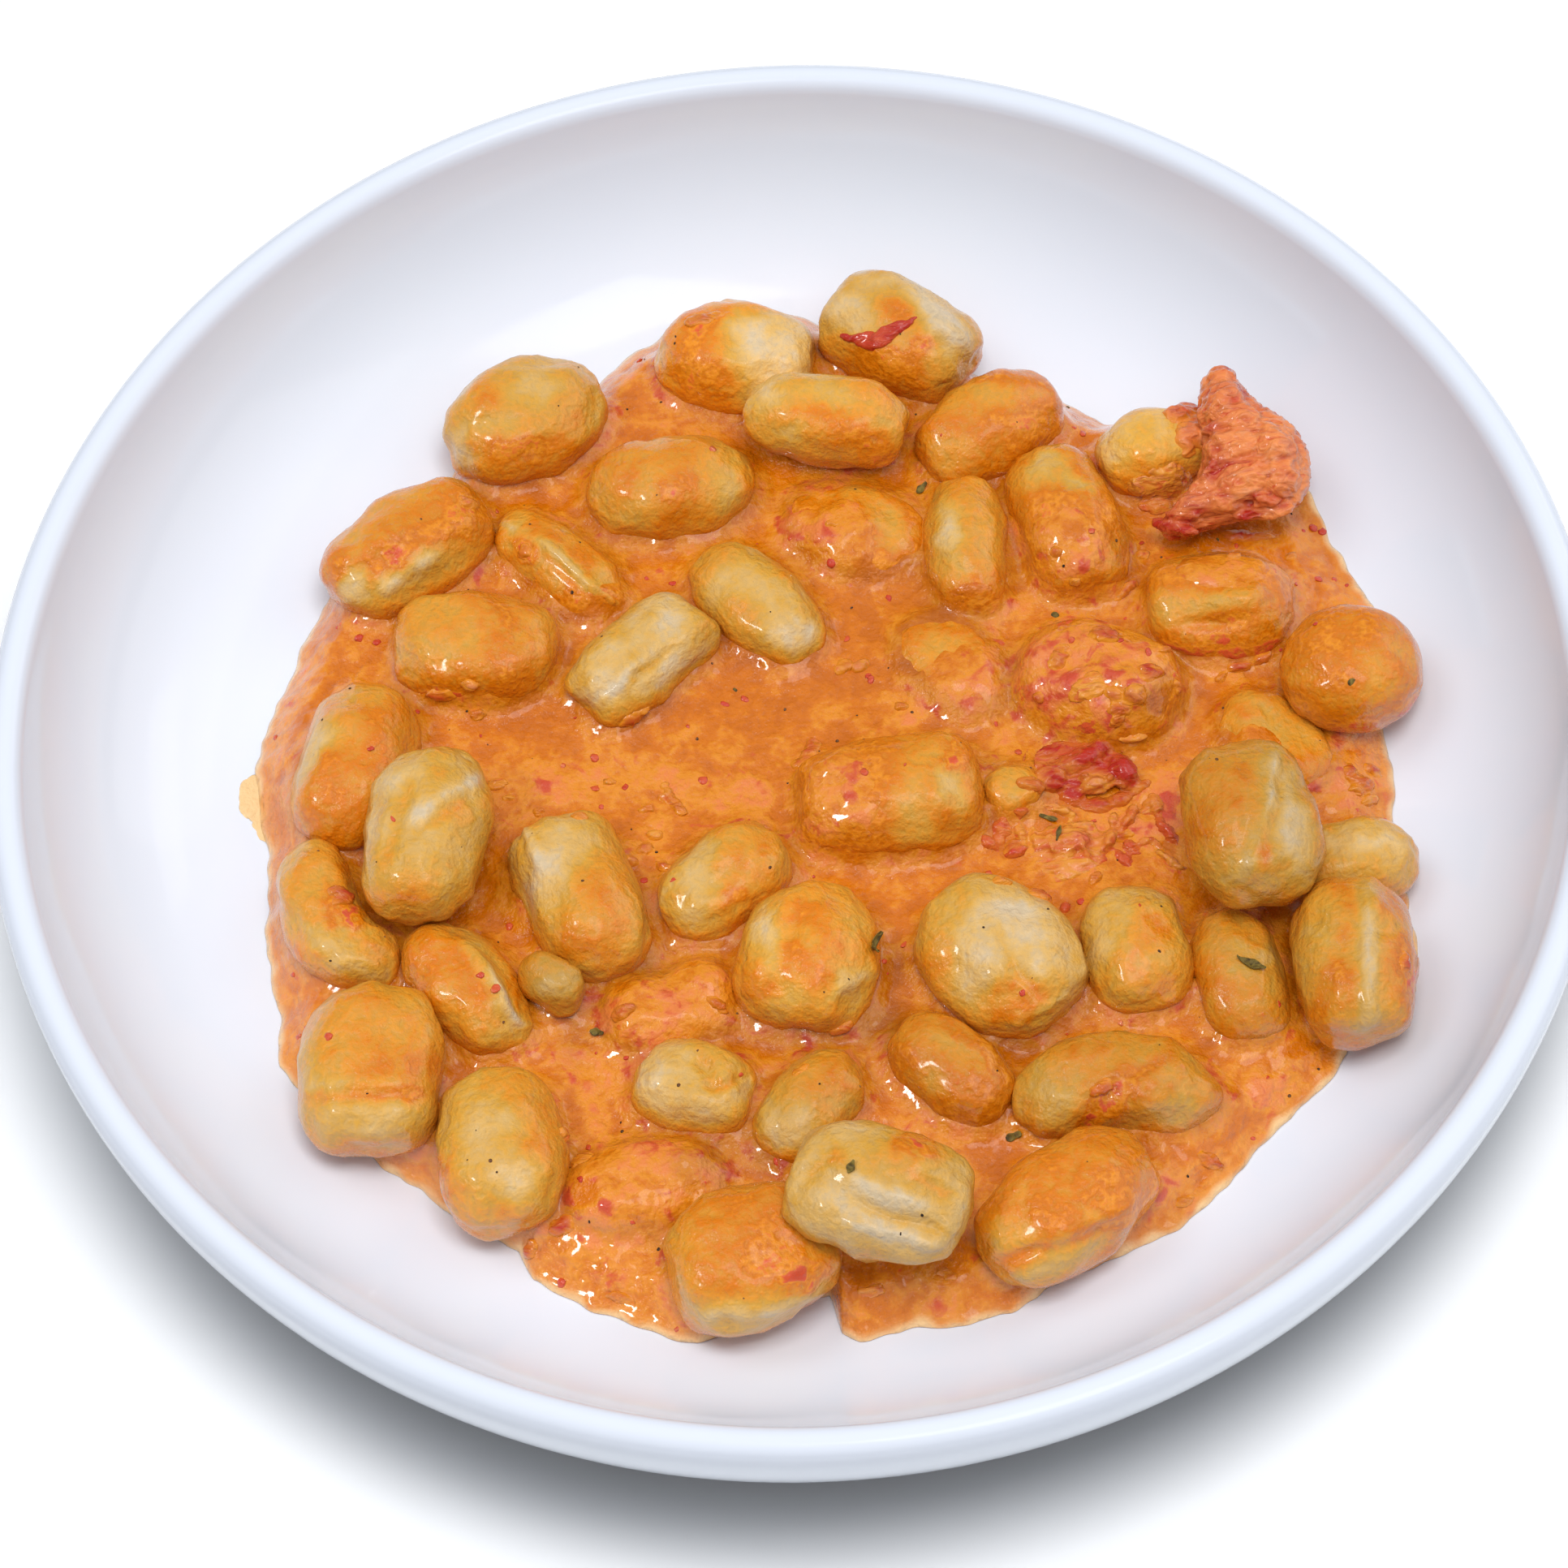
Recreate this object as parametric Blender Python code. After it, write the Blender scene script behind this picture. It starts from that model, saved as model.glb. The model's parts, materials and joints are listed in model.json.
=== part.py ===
"""Potato gnocchi in a creamy tomato sauce, served in a plain white coupe bowl.

One object for the bowl, one for the sauce, one for each gnocco and one for each large piece
of tomato. The sizes and places below are millimetres, and each mesh is made in metres. The
origin is the middle of the foot, on the table: +Z is up and -Y is the diner's side.
"""

from collections import namedtuple
from math import cos, hypot, pi, radians, sin
import random

import bmesh
import bpy
from mathutils import Matrix, Vector
from mathutils.bvhtree import BVHTree

MM = 0.001

# Bowl
RIM_RADIUS = 130.0
BOWL_HEIGHT = 42.0
LIP_INNER_RADIUS = 124.5
LIP_ROUNDING = 1.8
LIP_SHOULDER = 0.3  # how far in the middle of that rounding is, as a part of it
LIP_DROP = 4.5  # depth of the upright band under the lip, outside
FLOOR_RADIUS = 82.0  # the floor is flat out to here, then curves up into the wall
FLOOR_HEIGHT = 8.0
WALL_END_ANGLE = 80.0  # how far round its quarter ellipse the inner wall runs
OUTER_FLOOR_RADIUS = 84.0
OUTER_FLOOR_HEIGHT = 3.0
FOOT_RADIUS = 76.0
FOOT_WIDTH = 6.0
FOOT_RECESS = 2.0
FOOT_SLOPE = 1.5
BOWL_SEGMENTS = 40
CREASE_ANGLE = 40.0  # an edge of the bowl that turns more than this is shaded sharp
INNER_STEPS = 6
OUTER_STEPS = 4

# Sauce
SAUCE_CENTRE = (4.0, -5.0)
SAUCE_LEVEL = 15.0
SAUCE_EDGE = 1.2  # thickness of the sauce where it ends on the bowl
SAUCE_SLOPE = 9.0  # width of the rim where it falls from its level to its edge
SAUCE_SEGMENTS = 36
SAUCE_TOP_RINGS = (0.6, 0.9, 0.96, 1.0)
SAUCE_BASE_RINGS = (0.8, 1.0)
# How far the sauce reaches from its centre, in even steps of angle from +X round through +Y
SAUCE_REACH = (94, 97, 98, 97, 92, 93, 100, 99, 92, 92, 94, 94,
               94, 92, 96, 91, 94, 96, 96, 91, 91, 92, 95, 96)

# Gnocchi
SIDES = 10  # round the middle of a gnocco
STATIONS = (-0.9, -0.45, 0.45, 0.9)  # along its length, as a part of half the length
CURLED = 45.0  # a gnocco that bends through more than this has more stations
CURLED_STATIONS = (-0.92, -0.62, -0.22, 0.22, 0.62, 0.92)
SECTION_POWER = 2.3  # 2 is an ellipse, more is squarer
UNEVENNESS = 0.025
GAP = 0.45  # between any two pieces of food
FILM = 1.8  # sauce left between the bowl and the food in it
CAVITY_GAP = 0.4  # round each piece, where it sits in the sauce
DROP_HEIGHT = 60.0
DROP_STEP = 3.0
FINE_STEP = 0.25
SLIDES = (1.0, 2.0, 3.0)  # how far a piece may slip sideways to find a lower seat
SLIDE_COST = 0.6  # how much lower the seat must be for each millimetre of slip

# heading is the way the length points, counter-clockwise from +X. bend is how many degrees the
# length curves through, to its left. ends are how blunt its two ends are: 2 round, 5 cut off.
# tilt raises the end that heading points to, and lean raises the left side.
Gnocco = namedtuple(
    "Gnocco", "x y heading length width thick bend ends tilt lean",
    defaults=(0, (2.6, 2.6), 0, 0))

GNOCCHI = (
    # lying on the floor of the bowl, from the far side forwards
    Gnocco(-44, 72, 20, 28, 22, 18, ends=(2.3, 2.3)),
    Gnocco(-7, 83, 170, 27, 20, 17, ends=(3, 2.3)),
    Gnocco(22, 85, -35, 27, 19, 17, ends=(4, 3)),
    Gnocco(36, 66, 30, 26, 17, 16),
    Gnocco(8, 69, -14, 28, 15, 15),
    Gnocco(-19, 57, 5, 28, 18, 16),
    Gnocco(-64, 47, 35, 30, 20, 17),
    Gnocco(-40, 45, -42, 26, 13, 12, bend=-15),
    Gnocco(12, 48, -25, 23, 18, 10, bend=-40),
    Gnocco(30, 43, 88, 26, 14, 14, ends=(2.3, 3)),
    Gnocco(48, 46, 105, 29, 18, 16),
    Gnocco(62, 59, 15, 20, 14, 15),
    Gnocco(72, 28, -5, 25, 19, 15),
    Gnocco(51, 14, -20, 27, 21, 15),
    Gnocco(-53, 27, -10, 27, 20, 16),
    Gnocco(-25, 23, 42, 26, 16, 15, ends=(3, 3.5)),
    Gnocco(-5, 33, -50, 27, 16, 14, ends=(2.6, 2)),
    Gnocco(27, 20, -60, 22, 15, 9),
    Gnocco(15, -6, 3, 30, 20, 16, ends=(3, 4)),
    Gnocco(-73, 5, 75, 29, 19, 17),
    Gnocco(-78, -22, -62, 31, 13, 14, bend=95),
    Gnocco(-36, -23, 112, 29, 18, 17, ends=(2.6, 5)),
    Gnocco(-13, -20, 35, 23, 16, 15),
    Gnocco(79, 2, -50, 21, 14, 10),
    Gnocco(-57, -37, -55, 25, 15, 15, bend=-25),
    Gnocco(0, -34, 80, 26, 22, 18, ends=(3, 2.2)),
    Gnocco(-22, -42, 15, 21, 14, 10),
    Gnocco(31, -37, -50, 28, 23, 18, ends=(2.8, 2.8)),
    Gnocco(52, -36, 95, 22, 17, 16),
    Gnocco(66, -42, 100, 22, 14, 13),
    Gnocco(32.5, -5, 20, 10, 9, 10),
    Gnocco(-70, -52, 88, 27, 23, 17, ends=(3, 3)),
    Gnocco(22, -56, -45, 22, 14, 14),
    Gnocco(-19, -57, -20, 19, 15, 14),
    Gnocco(-50, -67, 95, 27, 20, 17),
    Gnocco(45, -58, 180, 32, 16, 15, bend=100),
    Gnocco(-1, -61, 47, 20, 14, 13),
    Gnocco(-28, -72, 10, 25, 15, 10),
    Gnocco(-11, -88, 15, 26, 22, 17, ends=(3.5, 2.6)),
    Gnocco(38, -82, 35, 30, 19, 17),
    Gnocco(-44, -38, -40, 11, 8, 10),
    # against the wall of the bowl, or lying on the others
    Gnocco(91, 10, 0, 23, 22, 19, ends=(2, 2)),
    Gnocco(89, -24, 5, 20, 14, 14),
    Gnocco(9, -83, -15, 28, 21, 13, ends=(3, 3), lean=8),
    Gnocco(-63, -11, 80, 30, 20, 16),
    Gnocco(73, -21, 100, 28, 22, 16),
    Gnocco(86, -43, 90, 27, 19, 17, ends=(3.5, 2.6)),
)

# Tomato: two soft pieces in the sauce, and a chunk with a skin that leans on the wall
TOMATO_PIECES = {
    "tomato_slice": Gnocco(44.5, -2.5, -12, 19, 12, 10, ends=(2, 2.6)),
    "tomato_pulp": Gnocco(44, -17, 20, 17, 11, 9, ends=(2.2, 2.2)),
}
CHUNK_PLACE = (76.5, 54.5)
CHUNK_OUTLINE = ((-2, 17), (3, 10), (9, 4), (11, -4), (6, -12), (-4, -11),
                 (-14, -13), (-15, -8), (-9, -3), (-7, 6))  # round from its horn, clockwise
CHUNK_THICK = 10.0
CHUNK_LAYERS = ((0.75, -0.5), (1.0, -0.15), (0.97, 0.2), (0.6, 0.5))  # (width, height)
CHUNK_TILT = 14.0
CHUNK_LEAN = 12.0

BOWL_WHITE = (0.82, 0.83, 0.86)
SAUCE_ORANGE = (0.78, 0.26, 0.05)
TOMATO_RED = (0.60, 0.08, 0.03)
DOUGH_COLOURS = ((0.72, 0.42, 0.12), (0.66, 0.50, 0.22), (0.78, 0.36, 0.08))


def clear_scene():
    for obj in list(bpy.data.objects):
        bpy.data.objects.remove(obj, do_unlink=True)


def material(name, colour, roughness):
    made = bpy.data.materials.new(name)
    made.use_nodes = True
    shader = made.node_tree.nodes["Principled BSDF"]
    shader.inputs["Base Color"].default_value = (*colour, 1.0)
    shader.inputs["Roughness"].default_value = roughness
    shader.inputs["Metallic"].default_value = 0.0
    return made


def add_object(name, mesh, finish):
    obj = bpy.data.objects.new(name, mesh)
    bpy.context.scene.collection.objects.link(obj)
    mesh.materials.append(finish)
    mesh.shade_smooth()
    return obj


def mesh_of(name, points, faces):
    """A mesh in metres from points in millimetres, with its faces turned outwards."""
    work = bmesh.new()
    corners = [work.verts.new(Vector(point) * MM) for point in points]
    for face in faces:
        work.faces.new([corners[i] for i in face])
    bmesh.ops.recalc_face_normals(work, faces=work.faces)
    mesh = bpy.data.meshes.new(name)
    work.to_mesh(mesh)
    work.free()
    return mesh


def ring_faces(rings, sides):
    """Quads between rings of points that follow one another, sides points to a ring."""
    faces = []
    for ring in range(rings - 1):
        for side in range(sides):
            ahead = (side + 1) % sides
            low = ring * sides
            high = low + sides
            faces.append((low + side, low + ahead, high + ahead, high + side))
    return faces


# ---------------------------------------------------------------- bowl

def inner_wall():
    """(radius, height) up the inside of the wall, on a quarter ellipse from floor to lip."""
    reach = (LIP_INNER_RADIUS - FLOOR_RADIUS) / sin(radians(WALL_END_ANGLE))
    rise = (BOWL_HEIGHT - FLOOR_HEIGHT) / (1 - cos(radians(WALL_END_ANGLE)))
    turns = [radians(WALL_END_ANGLE) * step / INNER_STEPS for step in range(INNER_STEPS + 1)]
    return [(FLOOR_RADIUS + reach * sin(a), FLOOR_HEIGHT + rise * (1 - cos(a))) for a in turns]


def outer_wall():
    """(radius, height) down the outside, from the upright band under the lip to the foot."""
    reach = RIM_RADIUS - OUTER_FLOOR_RADIUS
    rise = BOWL_HEIGHT - LIP_DROP - OUTER_FLOOR_HEIGHT
    turns = [pi / 2 * (1 - step / OUTER_STEPS) for step in range(OUTER_STEPS + 1)]
    return [(OUTER_FLOOR_RADIUS + reach * sin(a), OUTER_FLOOR_HEIGHT + rise * (1 - cos(a)))
            for a in turns]


def bowl_profile():
    lip = [(RIM_RADIUS - LIP_ROUNDING, BOWL_HEIGHT),
           (RIM_RADIUS - LIP_ROUNDING * LIP_SHOULDER, BOWL_HEIGHT - LIP_ROUNDING * LIP_SHOULDER),
           (RIM_RADIUS, BOWL_HEIGHT - LIP_ROUNDING)]
    foot = [(FOOT_RADIUS + FOOT_SLOPE, OUTER_FLOOR_HEIGHT),
            (FOOT_RADIUS, 0.0),
            (FOOT_RADIUS - FOOT_WIDTH, 0.0),
            (FOOT_RADIUS - FOOT_WIDTH - FOOT_SLOPE, FOOT_RECESS)]
    return inner_wall() + lip + outer_wall() + foot


def make_bowl(finish):
    """The turned wall and foot, closed by the floor inside and by the recess underneath."""
    profile = bowl_profile()
    points = []
    for radius, height in profile:
        for side in range(BOWL_SEGMENTS):
            turn = 2 * pi * side / BOWL_SEGMENTS
            points.append((radius * cos(turn), radius * sin(turn), height))
    faces = ring_faces(len(profile), BOWL_SEGMENTS)
    first, last = len(points), len(points) + 1
    points += [(0, 0, FLOOR_HEIGHT), (0, 0, FOOT_RECESS)]
    start = (len(profile) - 1) * BOWL_SEGMENTS
    for side in range(BOWL_SEGMENTS):
        ahead = (side + 1) % BOWL_SEGMENTS
        faces.append((ahead, side, first))
        faces.append((start + side, start + ahead, last))
    bowl = add_object("bowl", mesh_of("bowl", points, faces), finish)
    bowl.data.set_sharp_from_angle(angle=radians(CREASE_ANGLE))
    return bowl


# ---------------------------------------------------------------- shapes of the food

def signed_power(value, power):
    return (1 if value >= 0 else -1) * abs(value) ** power


def section_point(side, width, thick):
    """A point of the squarish oval across a piece, as (left, up)."""
    turn = 2 * pi * side / SIDES
    power = 2 / SECTION_POWER
    return signed_power(cos(turn), power) * width / 2, signed_power(sin(turn), power) * thick / 2


def spine_point(along, length, bend):
    """Where the middle line is at this distance from its centre, and the way it heads."""
    if not bend:
        return along, 0.0, 0.0
    radius = length / radians(bend)
    turn = along / radius
    return radius * sin(turn), radius * (1 - cos(turn)), turn


def gnocco_shape(g, seed):
    """Points and faces of one gnocco about its own centre, before it is turned and placed."""
    chance = random.Random(seed)
    stations = CURLED_STATIONS if abs(g.bend) > CURLED else STATIONS
    points = []
    for part in stations:
        power = g.ends[0] if part < 0 else g.ends[1]
        fullness = (1 - abs(part) ** power) ** (1 / power)
        ahead, left, turn = spine_point(part * g.length / 2, g.length, g.bend)
        for side in range(SIDES):
            across, up = section_point(side, g.width * fullness, g.thick * fullness)
            swell = 1 + chance.uniform(-UNEVENNESS, UNEVENNESS)
            points.append((ahead - across * swell * sin(turn), left + across * swell * cos(turn),
                           up * swell))
    faces = ring_faces(len(stations), SIDES)
    for end, first in ((-1, 0), (1, (len(stations) - 1) * SIDES)):
        ahead, left, _ = spine_point(end * g.length / 2, g.length, g.bend)
        tip = len(points)
        points.append((ahead, left, 0.0))
        faces += [(first + side, first + (side + 1) % SIDES, tip) for side in range(SIDES)]
    return points, faces


def chunk_shape():
    """Points and faces of the tomato chunk about its own centre: its outline in layers."""
    points = [(x * wide, y * wide, high * CHUNK_THICK)
              for wide, high in CHUNK_LAYERS for x, y in CHUNK_OUTLINE]
    sides = len(CHUNK_OUTLINE)
    faces = ring_faces(len(CHUNK_LAYERS), sides)
    for high, first in ((CHUNK_LAYERS[0][1], 0), (CHUNK_LAYERS[-1][1], len(points) - sides)):
        middle = len(points)
        points.append((0, 0, high * CHUNK_THICK))
        faces += [(first + side, first + (side + 1) % sides, middle) for side in range(sides)]
    return points, faces


def placed(mesh, x, y, heading, tilt, lean):
    """Turns a mesh about its centre and moves it to x, y, with its centre at the table."""
    turn = (Matrix.Rotation(radians(heading), 4, "Z") @ Matrix.Rotation(radians(-tilt), 4, "Y")
            @ Matrix.Rotation(radians(lean), 4, "X"))
    mesh.transform(Matrix.Translation((x * MM, y * MM, 0)) @ turn)


def inflated(mesh, gap):
    """A copy of a mesh with every point moved outwards along its normal."""
    copy = mesh.copy()
    normals = [vertex.normal.copy() for vertex in mesh.vertices]
    for vertex, normal in zip(copy.vertices, normals):
        vertex.co += normal * gap * MM
    return copy


def tree_of(mesh, moved=Vector((0, 0, 0))):
    """What a touch is tested with, in millimetres."""
    corners = [vertex.co / MM + moved for vertex in mesh.vertices]
    return BVHTree.FromPolygons(corners, [tuple(face.vertices) for face in mesh.polygons])


def lowest_height(outer, film, bowl_tree, others, slip):
    """How high a piece ends up when it is let down here on to the bowl and the others."""
    height = DROP_HEIGHT
    for step in (DROP_STEP, FINE_STEP):
        while height > 0:
            moved = Vector((*slip, height - step))
            moving = tree_of(outer, moved)
            if tree_of(film, moved).overlap(bowl_tree) or any(map(moving.overlap, others)):
                break
            height -= step
    return height


def slips():
    """Where a piece may slip to, from where it was put, nearest first."""
    ways = [(0.0, 0.0)]
    for far in SLIDES:
        ways += [(far * cos(turn * pi / 4), far * sin(turn * pi / 4)) for turn in range(8)]
    return ways


def settle(mesh, bowl_tree, others):
    """Lets a piece down on to a film of sauce or another piece, in the best seat near by."""
    outer = inflated(mesh, GAP)
    film = inflated(mesh, FILM)
    seats = []
    for slip in slips():
        height = lowest_height(outer, film, bowl_tree, others, slip)
        seats.append((height + SLIDE_COST * hypot(*slip), slip, height))
    _, slip, height = min(seats)
    mesh.transform(Matrix.Translation(Vector((*slip, height)) * MM))
    bpy.data.meshes.remove(outer)
    bpy.data.meshes.remove(film)


# ---------------------------------------------------------------- sauce

def sauce_reach(turn):
    """How far the sauce reaches this way, on a smooth curve through SAUCE_REACH."""
    count = len(SAUCE_REACH)
    place = turn / (2 * pi) * count
    first = int(place) % count
    part = place - int(place)
    a, b, c, d = (SAUCE_REACH[(first + step) % count] for step in (-1, 0, 1, 2))
    return b + 0.5 * part * (c - a + part * (2 * a - 5 * b + 4 * c - d
                                             + part * (3 * (b - c) + d - a)))


def bowl_height_at(bowl_tree, x, y):
    hit = bowl_tree.ray_cast(Vector((x, y, BOWL_HEIGHT)), Vector((0, 0, -1)))
    return hit[0].z


def make_sauce(finish, bowl_tree):
    """A pool with a sloping edge. Its base follows the bowl."""
    x0, y0 = SAUCE_CENTRE
    points = []
    for ring in SAUCE_TOP_RINGS + tuple(reversed(SAUCE_BASE_RINGS)):
        is_top = len(points) < len(SAUCE_TOP_RINGS) * SAUCE_SEGMENTS
        for side in range(SAUCE_SEGMENTS):
            turn = 2 * pi * side / SAUCE_SEGMENTS
            reach = sauce_reach(turn)
            x = x0 + ring * reach * cos(turn)
            y = y0 + ring * reach * sin(turn)
            height = bowl_height_at(bowl_tree, x, y) + CAVITY_GAP
            if is_top:
                slope = min(1.0, (1 - ring) * reach / SAUCE_SLOPE)
                edge = height + SAUCE_EDGE
                height = edge + max(0.0, SAUCE_LEVEL - edge) * sin(slope * pi / 2)
            points.append((x, y, height))
    rings = len(SAUCE_TOP_RINGS) + len(SAUCE_BASE_RINGS)
    faces = ring_faces(rings, SAUCE_SEGMENTS)
    top, base = len(points), len(points) + 1
    points += [(x0, y0, SAUCE_LEVEL), (x0, y0, FLOOR_HEIGHT + CAVITY_GAP)]
    last = (rings - 1) * SAUCE_SEGMENTS
    for side in range(SAUCE_SEGMENTS):
        ahead = (side + 1) % SAUCE_SEGMENTS
        faces.append((ahead, side, top))
        faces.append((last + side, last + ahead, base))
    return add_object("sauce", mesh_of("sauce", points, faces), finish)


def seat_in_sauce(sauce, pieces):
    """Cuts the room that each piece of food takes up out of the sauce."""
    cutters = bpy.data.collections.new("room for the food")
    bpy.context.scene.collection.children.link(cutters)
    for piece in pieces:
        mesh = inflated(piece.data, CAVITY_GAP)
        cutter = bpy.data.objects.new("room_" + piece.name, mesh)
        cutter.hide_render = True
        cutter.display_type = "WIRE"
        cutters.objects.link(cutter)
    cutters.hide_render = True
    cut = sauce.modifiers.new("room for the food", "BOOLEAN")
    cut.operation = "DIFFERENCE"
    cut.operand_type = "COLLECTION"
    cut.collection = cutters
    cut.solver = "EXACT"


# ---------------------------------------------------------------- the whole

def make_gnocchi(finishes, bowl_tree):
    """The gnocchi and what a touch with each is tested with."""
    made = []
    trees = []
    for index, g in enumerate(GNOCCHI, 1):
        name = f"gnocco_{index:02d}"
        mesh = mesh_of(name, *gnocco_shape(g, index))
        placed(mesh, g.x, g.y, g.heading, g.tilt, g.lean)
        settle(mesh, bowl_tree, trees)
        trees.append(tree_of(mesh))
        made.append(add_object(name, mesh, finishes[index % len(finishes)]))
    return made, trees


def make_tomato(finish, bowl_tree, trees):
    """The pieces of tomato, let down among the gnocchi."""
    meshes = []
    for name, g in TOMATO_PIECES.items():
        mesh = mesh_of(name, *gnocco_shape(g, name))
        placed(mesh, g.x, g.y, g.heading, g.tilt, g.lean)
        meshes.append(mesh)
    chunk = mesh_of("tomato_chunk", *chunk_shape())
    placed(chunk, *CHUNK_PLACE, 0, CHUNK_TILT, CHUNK_LEAN)
    meshes.append(chunk)
    for mesh in meshes:
        settle(mesh, bowl_tree, trees)
        trees.append(tree_of(mesh))
    return [add_object(mesh.name, mesh, finish) for mesh in meshes]


def main():
    clear_scene()
    bowl = make_bowl(material("white glaze", BOWL_WHITE, 0.1))
    bowl_tree = tree_of(bowl.data)
    dough = [material(f"dough {n}", colour, 0.4) for n, colour in enumerate(DOUGH_COLOURS, 1)]
    gnocchi, trees = make_gnocchi(dough, bowl_tree)
    tomato = make_tomato(material("tomato", TOMATO_RED, 0.35), bowl_tree, trees)
    sauce = make_sauce(material("creamy tomato sauce", SAUCE_ORANGE, 0.3), bowl_tree)
    seat_in_sauce(sauce, gnocchi + tomato)


main()
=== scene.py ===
"""The looks of a bowl of potato gnocchi in a creamy tomato sauce, built round its packed frame.

Sizes are in millimetres and become metres where a mesh is made. +Z is up and the diner sits at
-Y, looking down on the food from DINER_ELEVATION. Where a mark lies on a piece is given as the
diner sees it: millimetres to the right of the piece's middle and millimetres up from it.
"""

import json
from math import cos, pi, radians, sin
import random

import bmesh
import bpy
from bpy.props import FloatProperty, FloatVectorProperty, IntProperty, PointerProperty
from mathutils import Matrix, Vector, noise
from mathutils.bvhtree import BVHTree
import numpy as np

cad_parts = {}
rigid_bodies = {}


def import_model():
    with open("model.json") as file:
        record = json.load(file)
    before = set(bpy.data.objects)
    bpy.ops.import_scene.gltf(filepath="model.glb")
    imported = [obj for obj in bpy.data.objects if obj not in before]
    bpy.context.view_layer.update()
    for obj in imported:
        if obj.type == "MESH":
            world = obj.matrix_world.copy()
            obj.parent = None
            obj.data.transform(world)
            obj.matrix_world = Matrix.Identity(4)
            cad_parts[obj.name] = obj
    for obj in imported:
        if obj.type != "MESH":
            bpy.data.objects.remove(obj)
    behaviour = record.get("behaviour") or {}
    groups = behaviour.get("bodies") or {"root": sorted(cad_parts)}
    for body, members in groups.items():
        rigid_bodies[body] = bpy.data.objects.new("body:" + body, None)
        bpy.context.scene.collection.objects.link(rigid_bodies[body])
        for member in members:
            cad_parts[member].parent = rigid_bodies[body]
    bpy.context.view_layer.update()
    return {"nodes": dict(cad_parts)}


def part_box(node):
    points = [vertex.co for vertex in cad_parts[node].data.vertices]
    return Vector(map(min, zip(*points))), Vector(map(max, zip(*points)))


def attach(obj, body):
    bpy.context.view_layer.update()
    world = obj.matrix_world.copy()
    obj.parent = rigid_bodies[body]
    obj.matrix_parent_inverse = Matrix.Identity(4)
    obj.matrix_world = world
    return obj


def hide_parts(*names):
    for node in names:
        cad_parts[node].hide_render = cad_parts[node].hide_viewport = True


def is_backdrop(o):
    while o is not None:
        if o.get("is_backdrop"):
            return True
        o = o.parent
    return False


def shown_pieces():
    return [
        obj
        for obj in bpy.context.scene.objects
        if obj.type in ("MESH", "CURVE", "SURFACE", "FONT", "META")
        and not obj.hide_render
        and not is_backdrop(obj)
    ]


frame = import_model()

bl_info = {
    "name": "Gnocchi in tomato cream",
    "version": (1, 0, 0),
    "blender": (4, 5, 0),
    "location": "3D View > Sidebar > Gnocchi",
    "description": "Dresses a packed bowl of gnocchi: glaze, dough, sauce, tomato and herbs",
    "category": "Object",
}

MM = 0.001
WELD = 1e-6  # metres within which a packed node's corners are one
FIT_ROUNDS = 3  # rounds of drawing a refined mesh back to its packed points
FIT_STEP = 0.85  # share of the way back in each round
ABOVE_ALL = 60.0  # height from which the food is looked for straight down
BODY = "root"

# The diner's view, which the marks on the food are placed by
DINER_ELEVATION = 60.0
DINER_DISTANCE = 700.0
DINER_AIM = (-2.35, -16.4, 42.0)
HEAD_TILT = -3.0
READING_HEIGHT = 17.0  # plate positions are read on a level plane this high

# Bowl
FLOOR_RADIUS = 82.0
FLOOR_HEIGHT = 8.0
WALL_REACH = 43.16
WALL_RISE = 41.14
WALL_END_ANGLE = 80.0
OUTER_FLOOR_RADIUS = 84.0
OUTER_FLOOR_HEIGHT = 3.0
LIP_DROP = 4.5
LIP_ROUND = (  # (in from the rim, down from the top) over the rounded lip
    (5.7, 1.6), (5.1, 0.8), (4.3, 0.25), (3.3, 0.0), (2.3, 0.05), (1.4, 0.4), (0.7, 1.0),
    (0.2, 2.0), (0.0, 3.2), (0.0, LIP_DROP))
WALL_STEPS = 23  # rings of points up each side of the wall
WALL_SHARE = 0.955  # of the inner wall's curve, up to where the lip begins
FOOT_RADIUS = 76.0
FOOT_WIDTH = 6.0
FOOT_RECESS = 2.0
FOOT_OUTSIDE = ((1.5, OUTER_FLOOR_HEIGHT), (0.7, 1.6), (0.2, 0.4), (-0.5, 0.0))
FOOT_INSIDE = ((0.5, 0.0), (-0.2, 0.3), (-0.9, 1.3), (-1.5, FOOT_RECESS))
BARE_CLAY_HEIGHTS = (0.0, 0.0006)  # metres, from bare clay up to full glaze
CLAY_ROUGHNESS = 0.8
LIP_SHADE_HEIGHTS = (0.037, 0.0405)  # metres, up to the full painted shade of the lip

# Sauce: its outline on the bowl, round from the diner's right
SAUCE_MIDDLE = (4.0, -5.0)
SAUCE_REACH = 90  # about how far it reaches, which sizes the waves of its outline
SAUCE_LEVEL = 15.2
SAUCE_OUTLINE = (
    (98, 0), (98, 10), (102, 20), (97, 33), (94, 42), (90, 52), (76, 64), (57, 72), (48, 78), (36, 83),
    (24, 92), (8, 95), (-8, 101), (-19, 96), (-28, 88), (-36, 80), (-52, 74), (-61, 64), (-71, 58),
    (-79, 43), (-82, 36), (-86, 26), (-90, 16), (-90, 6), (-88.5, -6), (-88, -16), (-88, -24), (-86, -36),
    (-86, -46), (-80, -54), (-74, -60), (-66, -66), (-58, -73), (-48, -80), (-46, -86), (-38, -90),
    (-30, -94), (-20, -97.5), (-15, -96.5), (-9, -93.5), (-2.5, -91), (0.8, -90.3), (2.2, -97.5), (5, -99),
    (10, -98.5), (20, -97.5), (28.5, -95.5), (34, -92), (48, -86), (57, -82), (70, -70), (78, -63),
    (86, -54), (97, -46), (98, -30), (98, -15))
SAUCE_EDGE = 1.0  # thickness of the rounded edge on the bowl
SAUCE_EDGE_ROUND = 1.0
SAUCE_SLOPE = 8.0  # width of the rim where it comes up to its level
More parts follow.
